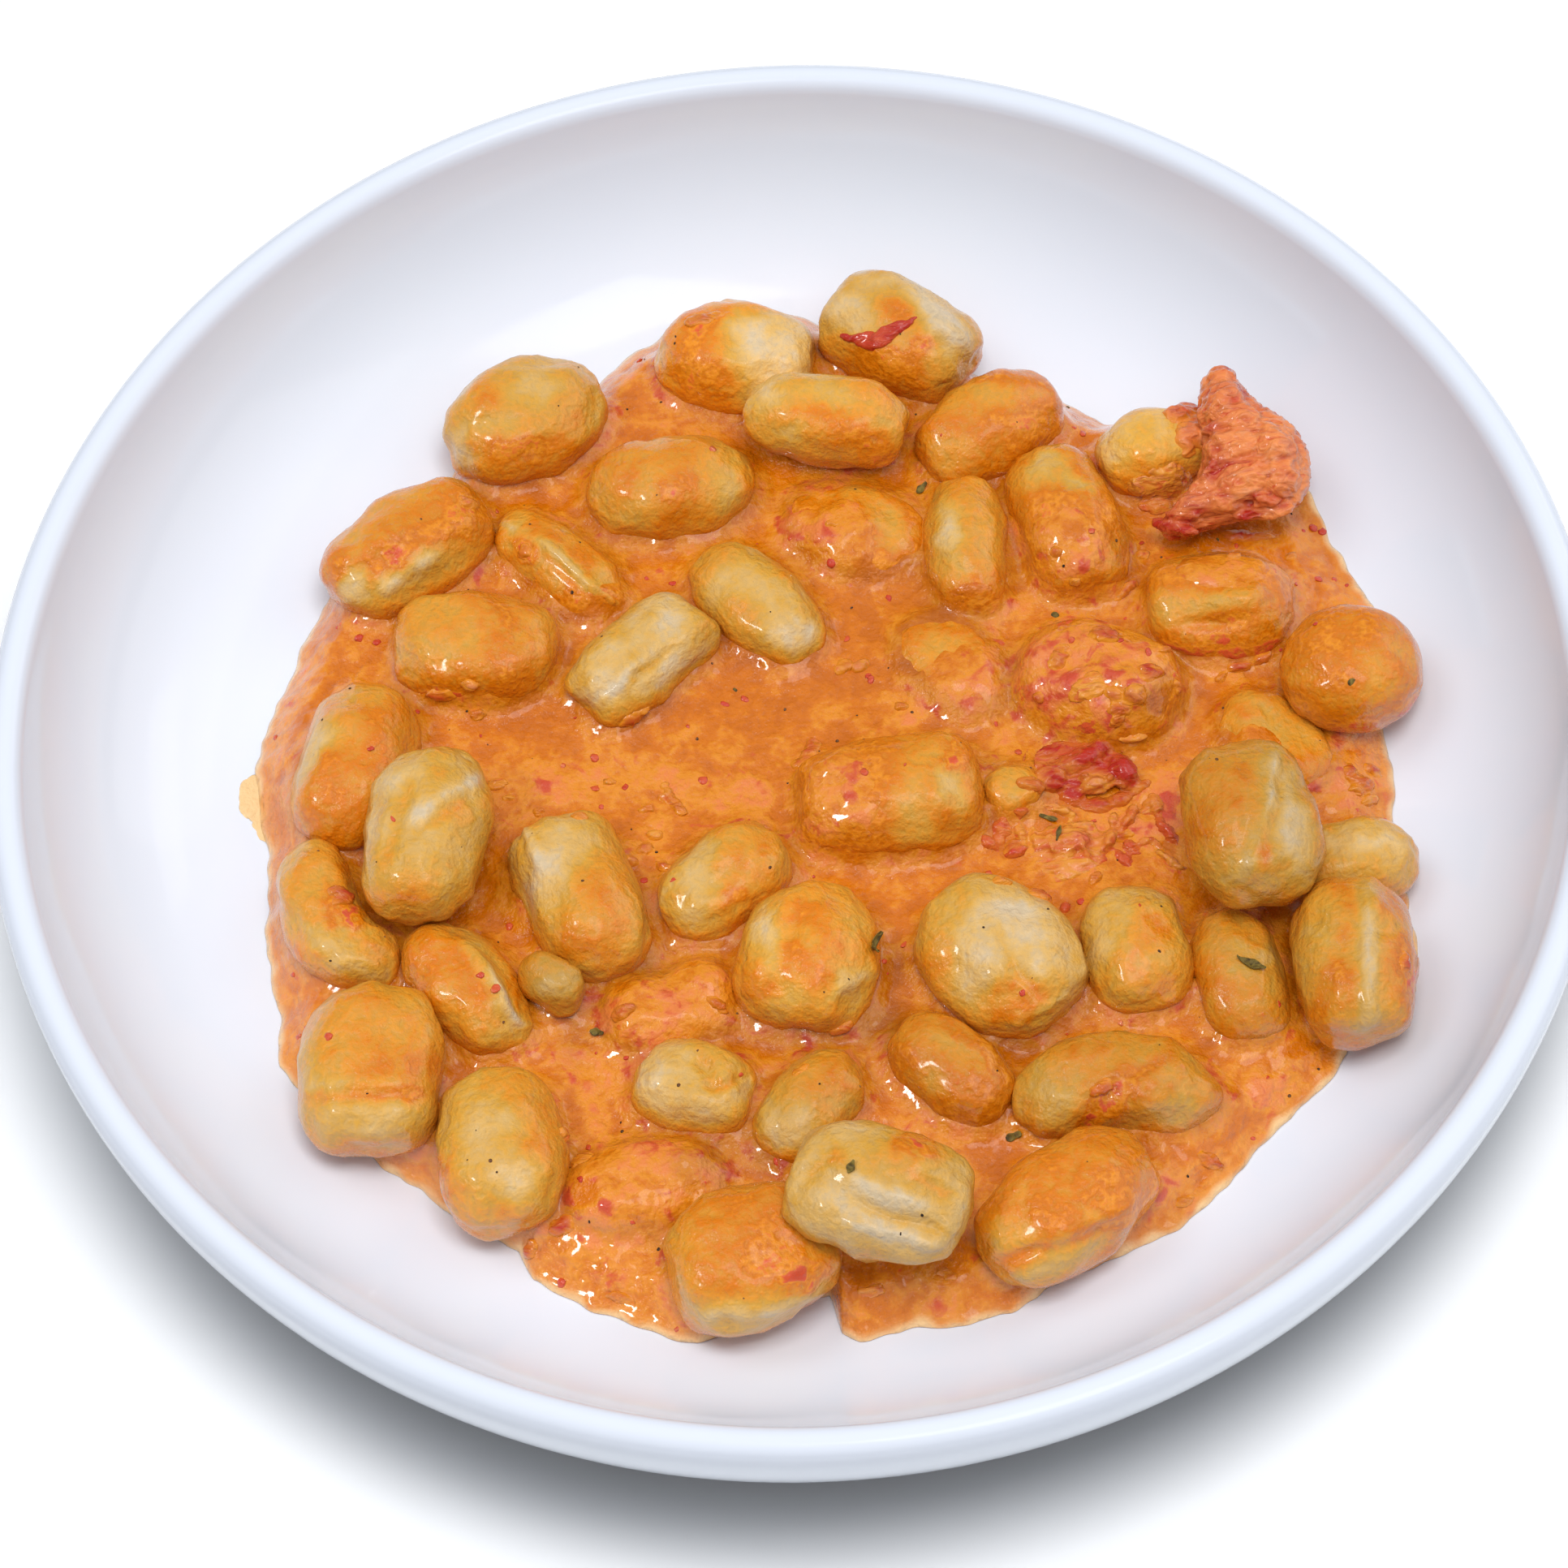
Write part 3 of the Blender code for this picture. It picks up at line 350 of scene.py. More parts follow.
# Lumps that the pieces of tomato are made up of: (x, y) read on the plate, then half the length,
# half the width, half the thickness, turn and how red. The bits lie in the sauce by themselves.
TOMATO_LUMPS = {
    "tomato_chunk": (
        (76.1, 74.8, 2.8, 2.4, 2.5, 75, 0.3), (75.6, 69.7, 4.2, 4, 3.2, 60, 0.3),
        (72.1, 68.5, 3.6, 2.4, 2.2, 40, 0.5), (79.7, 66.5, 4.4, 3, 2.8, -48, 0.1),
        (85.3, 60.0, 4.4, 3.4, 3.2, -45, 0.05), (85.8, 53.9, 4, 3.2, 3, 80, 0.15),
        (77.6, 60.2, 5, 4, 2.8, 0, 0.2), (78.9, 53.7, 5.5, 3.6, 3.2, 20, 0.05),
        (75.2, 49.4, 4.2, 2.4, 2.4, 0, 0.4), (83.2, 46.0, 3.8, 1.2, 1.6, 28, 0),
        (82.8, 48.9, 3.4, 0.9, 1.4, 28, 0.95), (66.1, 44.2, 4.2, 1.3, 1.3, -8, 0.9),
        (78.7, 41.8, 5.4, 1.3, 1.4, -8, 1), (76.2, 65.0, 3.8, 0.7, 1.8, 15, 0.8),
        (73.4, 56.4, 3.2, 0.8, 1.6, 60, 0.6), (81.6, 56.5, 3.4, 0.8, 1.8, 30, 0.5),
        (84.3, 63.9, 3, 0.8, 1.6, -30, 0), (70.3, 48.5, 3.4, 2, 1.4, 10, 0.3),
        (67.8, 47.0, 3, 1.3, 1.2, 0, 0.5), (72.1, 71.4, 4, 2.2, 2.4, 48, 0.15),
        (69.6, 68.1, 4, 2.6, 2.6, 40, 0.4), (71.4, 63.7, 4.5, 3.2, 2.8, 50, 0.1),
        (73.8, 67.8, 2.6, 2, 3, 20, 0.55), (76.0, 61.6, 3, 1.2, 3.2, -50, 0.6),
        (77.3, 54.3, 3.4, 1.1, 3.4, 30, 0.45), (81.8, 49.3, 3.6, 1.2, 3, -20, 0),
        (79.0, 45.9, 3, 1.1, 2.2, 15, 0.7), (73.5, 73.5, 3.2, 2.2, 2.4, 50, 0.2),
        (70.8, 69.9, 3.6, 2.4, 2.6, 40, 0.45)),
    "tomato_slice": (
        (41.1, -3.5, 3.6, 2.5, 2.2, 30, 0.75), (38.3, -4.4, 2.6, 1.2, 1.4, -10, 0.6),
        (46.6, 0.0, 4.4, 2.2, 2.6, 22, 0.95), (50.1, 2.0, 2.4, 1.6, 2.2, 30, 0.9),
        (53.9, -2.4, 3.2, 2.2, 2.6, -60, 0.95), (48.5, -4.8, 2.2, 1.3, 1.6, 20, 0.25),
        (47.1, -3.6, 0.9, 0.5, 1.8, 30, 0), (49.4, -5.7, 0.8, 0.5, 1.8, -20, 0),
        (51.3, -4.0, 0.8, 0.5, 1.8, 60, 0), (44.6, -7.2, 3.2, 1.8, 2.2, -25, 0.9),
        (49.1, -9.1, 3.4, 1.8, 2.2, 5, 1), (52.7, -8.1, 2.4, 1.6, 2, 30, 0.8),
        (56.4, -5.8, 2.2, 1, 1.5, 50, 0.5), (43.9, -1.3, 2, 1.2, 1.8, 40, 0.5)),
    "tomato_pulp": (
        (42.3, -14.2, 5, 3.4, 1.8, 0, 0.1), (35.9, -13.8, 3.4, 0.95, 2.1, -80, 0.1),
        (38.3, -15.0, 3.6, 0.95, 2.1, -84, 0), (40.7, -14.7, 3.4, 0.95, 2.1, -78, 0.2),
        (43.2, -14.8, 3.4, 0.95, 2.1, -70, 0), (45.4, -15.5, 3.2, 0.95, 2.1, -72, 0.3),
        (42.6, -9.8, 4.4, 1.1, 2.2, -22, 0), (46.6, -12.4, 2, 1.2, 1.7, -20, 0),
        (32.8, -13.1, 2.6, 1.6, 1.4, 70, 0.6), (36.2, -9.6, 1.6, 1.2, 1.7, 0, 0.7),
        (50.5, -15.2, 2.4, 0.9, 1.6, 60, 0.3), (53.5, -12.3, 3.6, 1, 2.1, 62, 0.4),
        (58.3, -9.9, 3.4, 1.1, 2.2, -72, 0.6), (60.1, -15.3, 3.6, 1.1, 2.2, -58, 0.85),
        (52.4, -19.5, 3.4, 1.3, 1.4, -40, 0.8), (59.7, -20.0, 4, 1, 2.1, -42, 0),
        (55.8, -16.6, 2.2, 1, 1.6, 30, 0.2), (42.2, -27.8, 1.6, 1.2, 1.7, 60, 0.9),
        (66.7, 53.9, 5.5, 4, 3.4, -40, 0.05), (69.7, 49.7, 4, 2.6, 2.6, -20, 0.2),
        (63.6, 49.0, 3.4, 1.8, 1.8, 0, 0.25), (61.6, 52.5, 2.4, 2.8, 1.6, 60, 0.05),
        (32.6, -12.0, 2.6, 1.2, 1.6, 60, 0.9), (30.7, -15.2, 2.4, 1, 1.5, -40, 0.95),
        (34.9, -17.1, 2.2, 1, 1.4, 20, 0.9), (42.8, -15.6, 2.4, 0.9, 1.8, -75, 0),
        (45.3, -16.1, 2.2, 0.8, 1.6, -60, 0.9), (57.1, -9.9, 2.8, 1, 1.8, 65, 0.3),
        (59.6, -14.7, 2.4, 1, 1.8, -50, 0.95), (54.1, -17.6, 2.4, 1.2, 1.6, -40, 0.9),
        (58.4, -18.6, 1.8, 0.8, 1.6, -45, 0), (51.1, -12.2, 2, 0.8, 1.6, 80, 0.1)),
    "bits": (
        (-27.4, 11.4, 2.4, 1.7, 1.4, 70, 0.75), (-25.0, 13.5, 1.6, 0.8, 1, 20, 0.1),
        (-42.9, -4.9, 1.1, 0.9, 0.9, 0, 0.8), (-20.3, -5.0, 2.4, 1.1, 1.1, -50, 0.7),
        (-21.6, -1.7, 1.6, 1, 1, -60, 0.2), (-25.8, -12.9, 1.8, 1.2, 1.2, 30, 0.7),
        (-22.6, -16.3, 2.2, 1.1, 1.1, -30, 0.8), (-28.1, -14.7, 1.4, 1, 1, 0, 0.6),
        (-24.1, -10.5, 1.4, 0.9, 1, 10, 0.1), (-47.8, -2.0, 1.4, 0.7, 0.9, 0, 0),
        (-53.0, 14.6, 1.6, 1.1, 1, 0, 0.7), (-31.0, 0.2, 1.4, 0.8, 0.9, 0, 0.3),
        (59.2, 16.6, 2.2, 0.9, 1.2, 10, 1), (51.9, 24.0, 1.7, 1.3, 1.2, 60, 0.7),
        (40.8, 12.1, 1, 0.8, 1, 0, 1), (53.3, 6.8, 1.8, 1.2, 1.3, 40, 0.6),
        (53.2, 12.0, 1.8, 1.1, 1.1, -20, 0.5), (57.2, 32.5, 3.2, 0.8, 1.1, 42, 0.6),
        (48.7, 34.4, 1.2, 0.9, 1, 0, 0.1), (63.9, 12.7, 1.4, 0.8, 1, -60, 0.6),
        (55.8, 3.3, 2.6, 0.8, 1, 5, 0.1), (71.4, 14.2, 1.6, 0.8, 1, 60, 0.5),
        (-11.7, 93.2, 3.6, 1.4, 1, 20, 0.6), (-53.5, 57.2, 2.4, 1.6, 0.9, 20, 0.6),
        (-44.5, 46.3, 1.4, 1.6, 1, 0, 0.85), (-59.0, 18.7, 3, 1.4, 1.2, 10, 0.75),
        (-53.9, 20.2, 1.6, 1.1, 1, 0, 0.3), (2.5, 4.6, 3.2, 1.7, 1.5, 80, 0.9),
        (0.4, 1.9, 1.6, 1.2, 1.2, 0, 0.6), (-21.3, -3.8, 2.2, 1.2, 1.1, -20, 0.6),
        (-25.6, -13.2, 1.8, 1.4, 1.1, 0, 0.6), (-27.7, -15.2, 1.2, 1, 1, 0, 0.1),
        (-75.4, -18.1, 2.4, 1.2, 1.2, -10, 0.7), (8.1, 48.8, 1.8, 1.1, 0.9, 0, 0.3),
        (8.7, 20.3, 2, 1.2, 1, 40, 0.4), (94.6, -5.4, 2.2, 1.6, 1.4, -20, 0.8),
        (91.5, -8.6, 1.6, 1.1, 1.1, 0, 0.2), (45.7, 40.7, 1.2, 1, 1, 0, 0.6),
        (11.4, 20.1, 1.6, 1, 1, 30, 0.3), (17.8, 11.8, 1.2, 0.9, 0.9, 0, 0.6),
        (85.3, 37.4, 1.2, 0.8, 0.9, 0, 0.5), (92.4, -7.4, 2.6, 1.9, 1.5, -20, 0.7),
        (93.4, -10.8, 2, 1, 1.2, 20, 0), (90.7, -5.1, 1.6, 1.2, 1.2, 60, 0.9),
        (74.6, 16.0, 2.4, 0.9, 1.2, 10, 0.8), (78.6, 17.5, 1.8, 1, 1.1, 40, 0.9),
        (52.6, -14.9, 2.2, 1.2, 1.2, 30, 0.8), (58.1, -17.4, 2.6, 1, 1.2, -50, 0.8),
        (34.5, -16.0, 2.2, 1.3, 1.3, 60, 0.7), (38.1, -25.4, 2.2, 1.2, 1.3, -30, 0.8),
        (32.2, -22.3, 1.8, 1, 1.2, 20, 0.2), (47.3, -22.7, 1.8, 0.9, 1.1, 60, 0.5),
        (62.4, 20.2, 1.6, 0.9, 1.1, 20, 0.7), (75.7, 37.9, 1.6, 0.8, 1, 30, 0.6),
        (-40.3, -79.3, 3, 1.5, 1.4, 20, 0.8), (-45.5, -83.2, 2, 1.2, 1.2, 70, 0.6),
        (-31.7, -92.2, 2.6, 1, 1.2, -10, 0.8), (-37.5, -68.2, 2.4, 1.6, 1.4, 60, 0.8),
        (-40.0, -63.8, 1.6, 1.2, 1.2, 0, 0.3), (7.4, -93.1, 2.6, 1.2, 1.2, 10, 0.8),
        (18.9, -91.0, 2, 1, 1.1, -20, 0.6), (61.1, -73.9, 2.8, 1.2, 1.3, -30, 0.8),
        (56.6, -80.7, 2, 1, 1.1, 20, 0.5), (45.5, -60.2, 2.6, 1.3, 1.2, 30, 0.9),
        (-75.1, -19.1, 2, 1.2, 1.2, 30, 0.9), (-30.4, -42.7, 2.4, 1, 1.2, 20, 0.7),
        (-14.7, -42.1, 2.2, 1.1, 1.2, -40, 0.6), (4.7, -47.6, 2, 1, 1.2, 30, 0.7),
        (-2.1, -54.5, 1.8, 1, 1.1, 60, 0.6), (-25.4, -5.2, 1.6, 1, 1.1, 0, 0.7),
        (-36.2, -6.1, 1.4, 1, 1, 0, 0.5), (95.6, -41.2, 2.4, 1.4, 1.2, 70, 0.9),
        (60.5, 39.1, 1.8, 1, 1.1, 10, 0.6), (-49.5, 0.9, 1.8, 1, 1.1, 20, 0.6),
        (48.7, 13.6, 3.4, 2.6, 1.5, 20, 0.05), (44.8, 19.6, 3, 1.8, 1.3, 60, 0.5),
        (52.4, 23.7, 2.6, 1.6, 1.3, -20, 0.85), (59.8, 15.6, 2.6, 1.3, 1.3, 30, 0.85),
        (54.1, 8.8, 2.4, 1.6, 1.3, 20, 0.6), (56.8, 11.5, 2, 1.6, 1.4, 0, 0.2)),
    "skin": (
        (13.1, 87.3, 4, 0.75, 0.8, -10, 1), (15.8, 85.9, 3.2, 0.9, 0.9, -14, 0.95),
        (18.5, 86.9, 2.6, 1.6, 0.9, 20, 0.6), (21.4, 88.5, 3.6, 0.9, 0.9, 30, 0.95),
        (24.1, 90.4, 1.9, 0.5, 0.8, 38, 1), (15.4, 87.6, 3, 0.8, 0.8, 5, 0.5),
        (20.2, 89.1, 3.2, 0.6, 0.8, 20, 0.7)),
}

# Each packed piece of tomato: its material's name, the tones of its flesh and skin, its share
# of the relief, and the most sauce that may lie on it
TOMATO_PIECES = {
    "tomato_chunk": ("tomato flesh", "tomato_flesh", "tomato_skin", 0.6, 0.7),
    "tomato_slice": ("dark tomato", "tomato_strands", "tomato_skin", 0.45, 0.3),
    "tomato_pulp": ("tomato pulp", "tomato_strands", "tomato_bits", 0.6, 0.15),
}
TOMATO_FLAT = {"tomato_slice": 0.25, "tomato_pulp": 0.5, "tomato_chunk": 1.0}  # above the sauce
TOMATO_SHRINK = 0.7  # how far a packed piece is drawn in under its lumps
TOMATO_CELL = 0.34  # size of the cells in which lumps are fused
BITS_CELL = 0.3
SUNK_IN_CORE = 0.55  # how much of half its thickness a lump lies sunk
SUNK_IN_SAUCE = 0.4
HOLLOW_RED_AND_SHADE = 0.4  # how much redder and darker a hollow is painted, partly painted shade; raised fibres are painted paler
SAUCED_HEIGHT = 0.8  # above the food, up to which sauce lies on a piece

# Bits of herb: (x, y) read on the plate, then length, width, turn and curl
HERB_BITS = (
    (24, 55, 2.4, 1.2, 30, 0.5), (10.5, -33, 5, 1.4, 80, 0.8), (40.5, -11, 3, 0.9, -30, 0.5),
    (42, -14, 2.6, 0.7, 80, 0.5), (71, -40, 5, 1.3, -20, 0.5), (5, -72, 2.2, 1.1, 60, 0.4),
    (-34, -46, 2.4, 1.2, -30, 0.6), (31, -68, 2.6, 1.4, 20, 0.4))
LEAF_THICKNESS = 0.22
LEAF_STEPS = 12
LEAF_COLUMNS = 6

# Strewing, with the seeds of the bits' random width, turn and skin
SKIN_STEP = 0.8  # between the points of the surface that is strewn on
STEEPEST = 1.6  # slope that bits lie on
WIDTH_SEED = 7
TURN_SEED = 11
SKIN_SEED = 13

# Stage. Lights: the setting that holds the power, azimuth, elevation, size, colour, whether the
# glaze reflects it, and whether it lights the bowl
FLOOR_DROP = -0.2
BOWL_SHADE_REACH = (0.112, 0.14)  # metres from the middle of the floor
LIGHT_AIM = (0, 0, 0.02)
LIGHT_DISTANCE = 1.0
PLAIN_WHITE = (1, 1, 1)
LIGHTS = (
    ("key light", "key", 160, 80, (0.4, 0.4), (1.0, 0.985, 0.97), False, True),
    ("left light", "left", -70, 60, (0.5, 0.5), PLAIN_WHITE, False, True),
    ("top panel", "panel", 135, 74, (0.3, 0.4), PLAIN_WHITE, True, True),
    ("side light", "side", 80, 35, (1.0, 0.8), (1.0, 0.99, 0.98), True, True),
    ("window light", "window", 53, 34, (0.35, 0.2), PLAIN_WHITE, True, True),
    ("front light", "front", 250, 52, (0.16, 0.1), PLAIN_WHITE, True, False),
)

VECTOR_SOCKET = ("Vector", "NodeSocketVector")
GRAIN_FINENESS = 5.5  # of the fine grain, beside the mottling
GRAIN_SHARE = 0.45  # of the fine grain in the height


def srgb(red, green, blue):
    """A colour given in steps of 0 to 255, as light."""
    return tuple(((c / 255 + 0.055) / 1.055) ** 2.4 for c in (red, green, blue)) + (1.0,)


# ---------------------------------------------------------------- the diner's view

def view_axes():
    """(right, up, towards) of the diner's view, as unit vectors."""
    slope = radians(DINER_ELEVATION)
    tilt = radians(HEAD_TILT)
    towards = Vector((0, -cos(slope), sin(slope)))
    level = Vector((1, 0, 0))
    upright = level.cross(-towards)
    right = level * cos(tilt) + upright * sin(tilt)
    up = upright * cos(tilt) - level * sin(tilt)
    return right, up, towards


VIEW_RIGHT, VIEW_UP, VIEW_TOWARDS = view_axes()
EYE = Vector(DINER_AIM) + VIEW_TOWARDS * DINER_DISTANCE


def seen_place(x, y, tree):
    """(place, normal) on the food, in millimetres, where the diner sees plate position x, y.

    Just past an outline, it is the place on it that is nearest to the line of sight."""
    aim = Vector((x, y, READING_HEIGHT))
    way = (aim - EYE).normalized()
    place, normal, _, _ = tree.ray_cast(EYE, way)
    if place is None:
        near = [tree.find_nearest(aim - way * step) for step in range(-10, 40, 2)]
        place, normal, _, _ = min(near, key=lambda found: found[3])
    return place, normal


def plate_reading(points):
    """Where the diner sees these points on the level plane that plate positions are read on."""
    eye = np.array(EYE)
    part = (eye[2] - READING_HEIGHT) / (eye[2] - points[:, 2])
    return eye[None, :2] + (points[:, :2] - eye[None, :2]) * part[:, None]


def turned_from(right, up, x, y, turn):
    """Millimetres along and across a direction at this turn, from x, y."""
    c = cos(radians(turn))
    s = sin(radians(turn))
    return (right - x) * c + (up - y) * s, (up - y) * c - (right - x) * s


def mark_weight(right, up, mark, softness):
    """How far each place lies in an oval mark: 1 inside, 0 outside and soft between."""
    x, y, wide, tall, turn = mark
    along, across = turned_from(right, up, x, y, turn)
    far = np.sqrt((along / wide) ** 2 + (across / tall) ** 2)
    return 1 / (1 + np.exp(np.clip((far - 1) / softness, -30, 30)))


# ---------------------------------------------------------------- meshes

def noise_of(points, size, seed):
    """Smooth noise between about -1 and 1 at each point, with lumps of this size."""
    shift = Vector((seed * 17.3, seed * 7.7, seed * 3.1))
    return np.array([noise.noise(Vector(point) / size + shift) for point in points.tolist()])


def noises_of(points, kinds, first=0):
    """Noise at each point for each (size of its lumps, seed), with first added to the seed."""
    return [noise_of(points, size, first + seed) for size, seed in kinds]


def points_of(mesh):
    values = np.empty(len(mesh.vertices) * 3, np.float32)
    mesh.vertices.foreach_get("co", values)
    return values.reshape(-1, 3).astype(np.float64) / MM


def move_points(mesh, points):
    mesh.vertices.foreach_set("co", (points * MM).astype(np.float32).ravel())
    mesh.update()


def normals_of(mesh):
    values = np.empty(len(mesh.vertices) * 3, np.float32)
    mesh.vertex_normals.foreach_get("vector", values)
    return values.reshape(-1, 3).astype(np.float64)


def add_values(mesh, **values):
    """Gives the points of a mesh named values, each a number for all or one for each point."""
    for name, value in values.items():
        whole = np.broadcast_to(value, len(mesh.vertices)).astype(np.float32)
        mesh.attributes.new(name, "FLOAT", "POINT").data.foreach_set("value", whole)


def mesh_of(name, points, faces):
    """A smooth mesh in metres from points in millimetres."""
    mesh = bpy.data.meshes.new(name)
    mesh.from_pydata([Vector(point) * MM for point in points], [], faces)
    mesh.update()
    mesh.shade_smooth()
    return mesh


def link_object(name, data):
    """A new object of the scene, at the origin."""
    made = bpy.data.objects.new(name, data)
    bpy.context.scene.collection.objects.link(made)
    return made


def drop_object(piece):
    """Removes an object that was only worked with, and its mesh."""
    mesh = piece.data
    bpy.data.objects.remove(piece)
    bpy.data.meshes.remove(mesh)


def mesh_from(work, name):
    """The smooth mesh of what was worked on, which is freed."""
    mesh = bpy.data.meshes.new(name)
    work.to_mesh(mesh)
    work.free()
    mesh.shade_smooth()
    return mesh


def ball_mesh(name, subdivisions):
    """A round ball, 1 m in radius."""
    work = bmesh.new()
    bmesh.ops.create_icosphere(work, subdivisions=subdivisions, radius=1.0)
    return mesh_from(work, name)


def add_piece(name, mesh, finish, node=None):
    """Puts a finished mesh in the scene as a piece of the dish, in a packed node's place."""
    piece = link_object(name, mesh)
    mesh.materials.clear()
    mesh.materials.append(finish)
    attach(piece, BODY)
    if node:
        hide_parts(node)
    return piece


def evaluated_mesh(piece, name):
    """The mesh that a piece's modifiers make, on its own."""
    piece.data.update()
    piece.data.update_tag()
    graph = bpy.context.evaluated_depsgraph_get()
    graph.update()
    mesh = bpy.data.meshes.new_from_object(piece.evaluated_get(graph))
    mesh.name = name
    return mesh


def refined_copy(node, levels):
    """A smooth and finely meshed copy of a packed node that passes through its points."""
    work = bmesh.new()
    work.from_mesh(frame["nodes"][node].data)
    bmesh.ops.remove_doubles(work, verts=work.verts, dist=WELD)
    bmesh.ops.join_triangles(
        work, faces=work.faces, angle_face_threshold=radians(50), angle_shape_threshold=radians(70))
    cage = mesh_from(work, node)
    piece = link_object(node + " cage", cage)
    finer = piece.modifiers.new("finer", "SUBSURF")
    finer.levels = 1
    finer.render_levels = 1
    packed = points_of(cage)
    for _ in range(FIT_ROUNDS):
        mesh = evaluated_mesh(piece, node)
        reached = points_of(mesh)[:len(packed)]
        bpy.data.meshes.remove(mesh)
        move_points(cage, points_of(cage) + FIT_STEP * (packed - reached))
    finer.levels = levels
    finer.render_levels = levels
    mesh = evaluated_mesh(piece, node)
    drop_object(piece)
    mesh.shade_smooth()
    return mesh


def tree_of(*meshes):
    """What places on these meshes are found with, in millimetres."""
    corners = []
    faces = []
    for mesh in meshes:
        first = len(corners)
        corners += points_of(mesh).tolist()
        faces += [[first + corner for corner in face.vertices] for face in mesh.polygons]
    return BVHTree.FromPolygons(corners, faces)


def from_above(tree, x, y):
    """(place, face) of what shows from straight above x, y."""
    place, _, face, _ = tree.ray_cast(Vector((x, y, ABOVE_ALL)), Vector((0, 0, -1)))
    return place, face


def laid_turn(normal, turn):
    """The rotation that lays a level shape on a surface, turned about its normal."""
    upright = Vector((0, 0, 1)).rotation_difference(normal).to_matrix()
    return upright @ Matrix.Rotation(radians(turn), 3, "Z")


def ring_faces(rings, sides):
    """Quads between rings of points that follow one another, sides points to a ring."""
    faces = []
    for ring in range(rings - 1):
        for side in range(sides):
            ahead = (side + 1) % sides
            low = ring * sides
            faces.append((low + side, low + ahead, low + sides + ahead, low + sides + side))
    return faces


# ---------------------------------------------------------------- shader helpers

def add_node(tree, kind, inputs=None, **settings):
    """Adds a node, with its settings, and its inputs set to values or linked from sockets."""
    made = tree.nodes.new(kind)
    for name, value in settings.items():
        setattr(made, name, value)
    for name, value in (inputs or {}).items():
        if isinstance(value, bpy.types.NodeSocket):
            tree.links.new(value, made.inputs[name])
        else:
            made.inputs[name].default_value = value
    return made


def noise_node(tree, vector, scale, detail=3.0, distortion=0.0, roughness=0.5):
    made = add_node(tree, "ShaderNodeTexNoise", {
        "Vector": vector, "Scale": scale, "Detail": detail, "Distortion": distortion,
        "Roughness": roughness})
    return made.outputs["Fac"]


def math_node(tree, operation, first, second=0.0, third=0.0, clamp=False):
    made = add_node(tree, "ShaderNodeMath", {0: first, 1: second, 2: third},
                    operation=operation, use_clamp=clamp)
    return made.outputs[0]


def range_node(tree, value, low, high, to_low=0.0, to_high=1.0):
    made = add_node(tree, "ShaderNodeMapRange", {
        "Value": value, "From Min": low, "From Max": high, "To Min": to_low, "To Max": to_high},
        interpolation_type="SMOOTHSTEP")
    return made.outputs["Result"]


def centred_node(tree, value):
    """A mask of 0 to 1 as a swing about 0."""
    return math_node(tree, "SUBTRACT", value, 0.5)


def scaled_node(tree, vector, scale):
    made = add_node(tree, "ShaderNodeVectorMath", {0: vector, "Scale": scale}, operation="SCALE")
    return made.outputs["Vector"]


def mix_node(tree, part, first, second):
    made = add_node(tree, "ShaderNodeMix", {0: part, 6: first, 7: second}, data_type="RGBA")
    return made.outputs[2]


def ramp_node(tree, factor, stops):
    made = add_node(tree, "ShaderNodeValToRGB", {"Fac": factor})
    ramp = made.color_ramp
    while len(ramp.elements) < len(stops):
        ramp.elements.new(0.5)
    for element, (place, colour) in zip(ramp.elements, stops):
        element.position = place
        element.color = colour
    return made.outputs["Color"]


def add_sockets(tree, in_out, sockets):
    """Gives a node group these (name, kind) or (name, kind, default) sockets."""
    for title, kind, *default in sockets:
        socket = tree.interface.new_socket(title, in_out=in_out, socket_type=kind)
        if default:
            socket.default_value = default[0]


def shared_group(name, inputs, outputs, fill):
    """A shader node group, built once: fill gives its outputs from its tree and its inputs."""
    if name in bpy.data.node_groups:
        return bpy.data.node_groups[name]
    tree = bpy.data.node_groups.new(name, "ShaderNodeTree")
    add_sockets(tree, "INPUT", inputs)
    add_sockets(tree, "OUTPUT", outputs)
    start = tree.nodes.new("NodeGroupInput")
    end = tree.nodes.new("NodeGroupOutput")
    for (title, _), value in zip(outputs, fill(tree, start.outputs)):
        tree.links.new(value, end.inputs[title])
    return tree


def group_node(tree, group, **inputs):
    """The outputs of a shared group that is placed with these inputs."""
    return add_node(tree, "ShaderNodeGroup", inputs, node_tree=group).outputs


def grain_group():
    """Soft mottling, finer grain and a height made of both, of any food's surface."""
    def fill(tree, given):
        vector = given["Vector"]
        scale = given["Scale"]
        mottle = noise_node(tree, vector, scale, detail=2.0, distortion=0.4)
        grain = noise_node(tree, vector, math_node(tree, "MULTIPLY", scale, GRAIN_FINENESS),
                           detail=2.0)
        broad = math_node(tree, "MULTIPLY", mottle, 1 - GRAIN_SHARE)
        return mottle, grain, math_node(tree, "MULTIPLY_ADD", grain, GRAIN_SHARE, broad)
    return shared_group(
        "food grain", (VECTOR_SOCKET, ("Scale", "NodeSocketFloat", 150.0)),
        (("Mottle", "NodeSocketFloat"), ("Grain", "NodeSocketFloat"),
         ("Height", "NodeSocketFloat")), fill)


def fleck_group():
    """Ragged flecks: a mask that is 1 in a fleck. Amount is how much of the surface they take."""
    def fill(tree, given):
        value = noise_node(tree, given["Vector"], given["Scale"], detail=3.0, distortion=0.6,
                           roughness=0.6)
        edge = math_node(tree, "MULTIPLY_ADD", given["Amount"], -0.25, 0.75)
        above = math_node(tree, "SUBTRACT", value, edge)
        return [range_node(tree, above, -0.03, 0.1)]
    return shared_group(
        "flecks", (VECTOR_SOCKET, ("Scale", "NodeSocketFloat", 300.0),
                   ("Amount", "NodeSocketFloat", 0.3)), (("Mask", "NodeSocketFloat"),), fill)


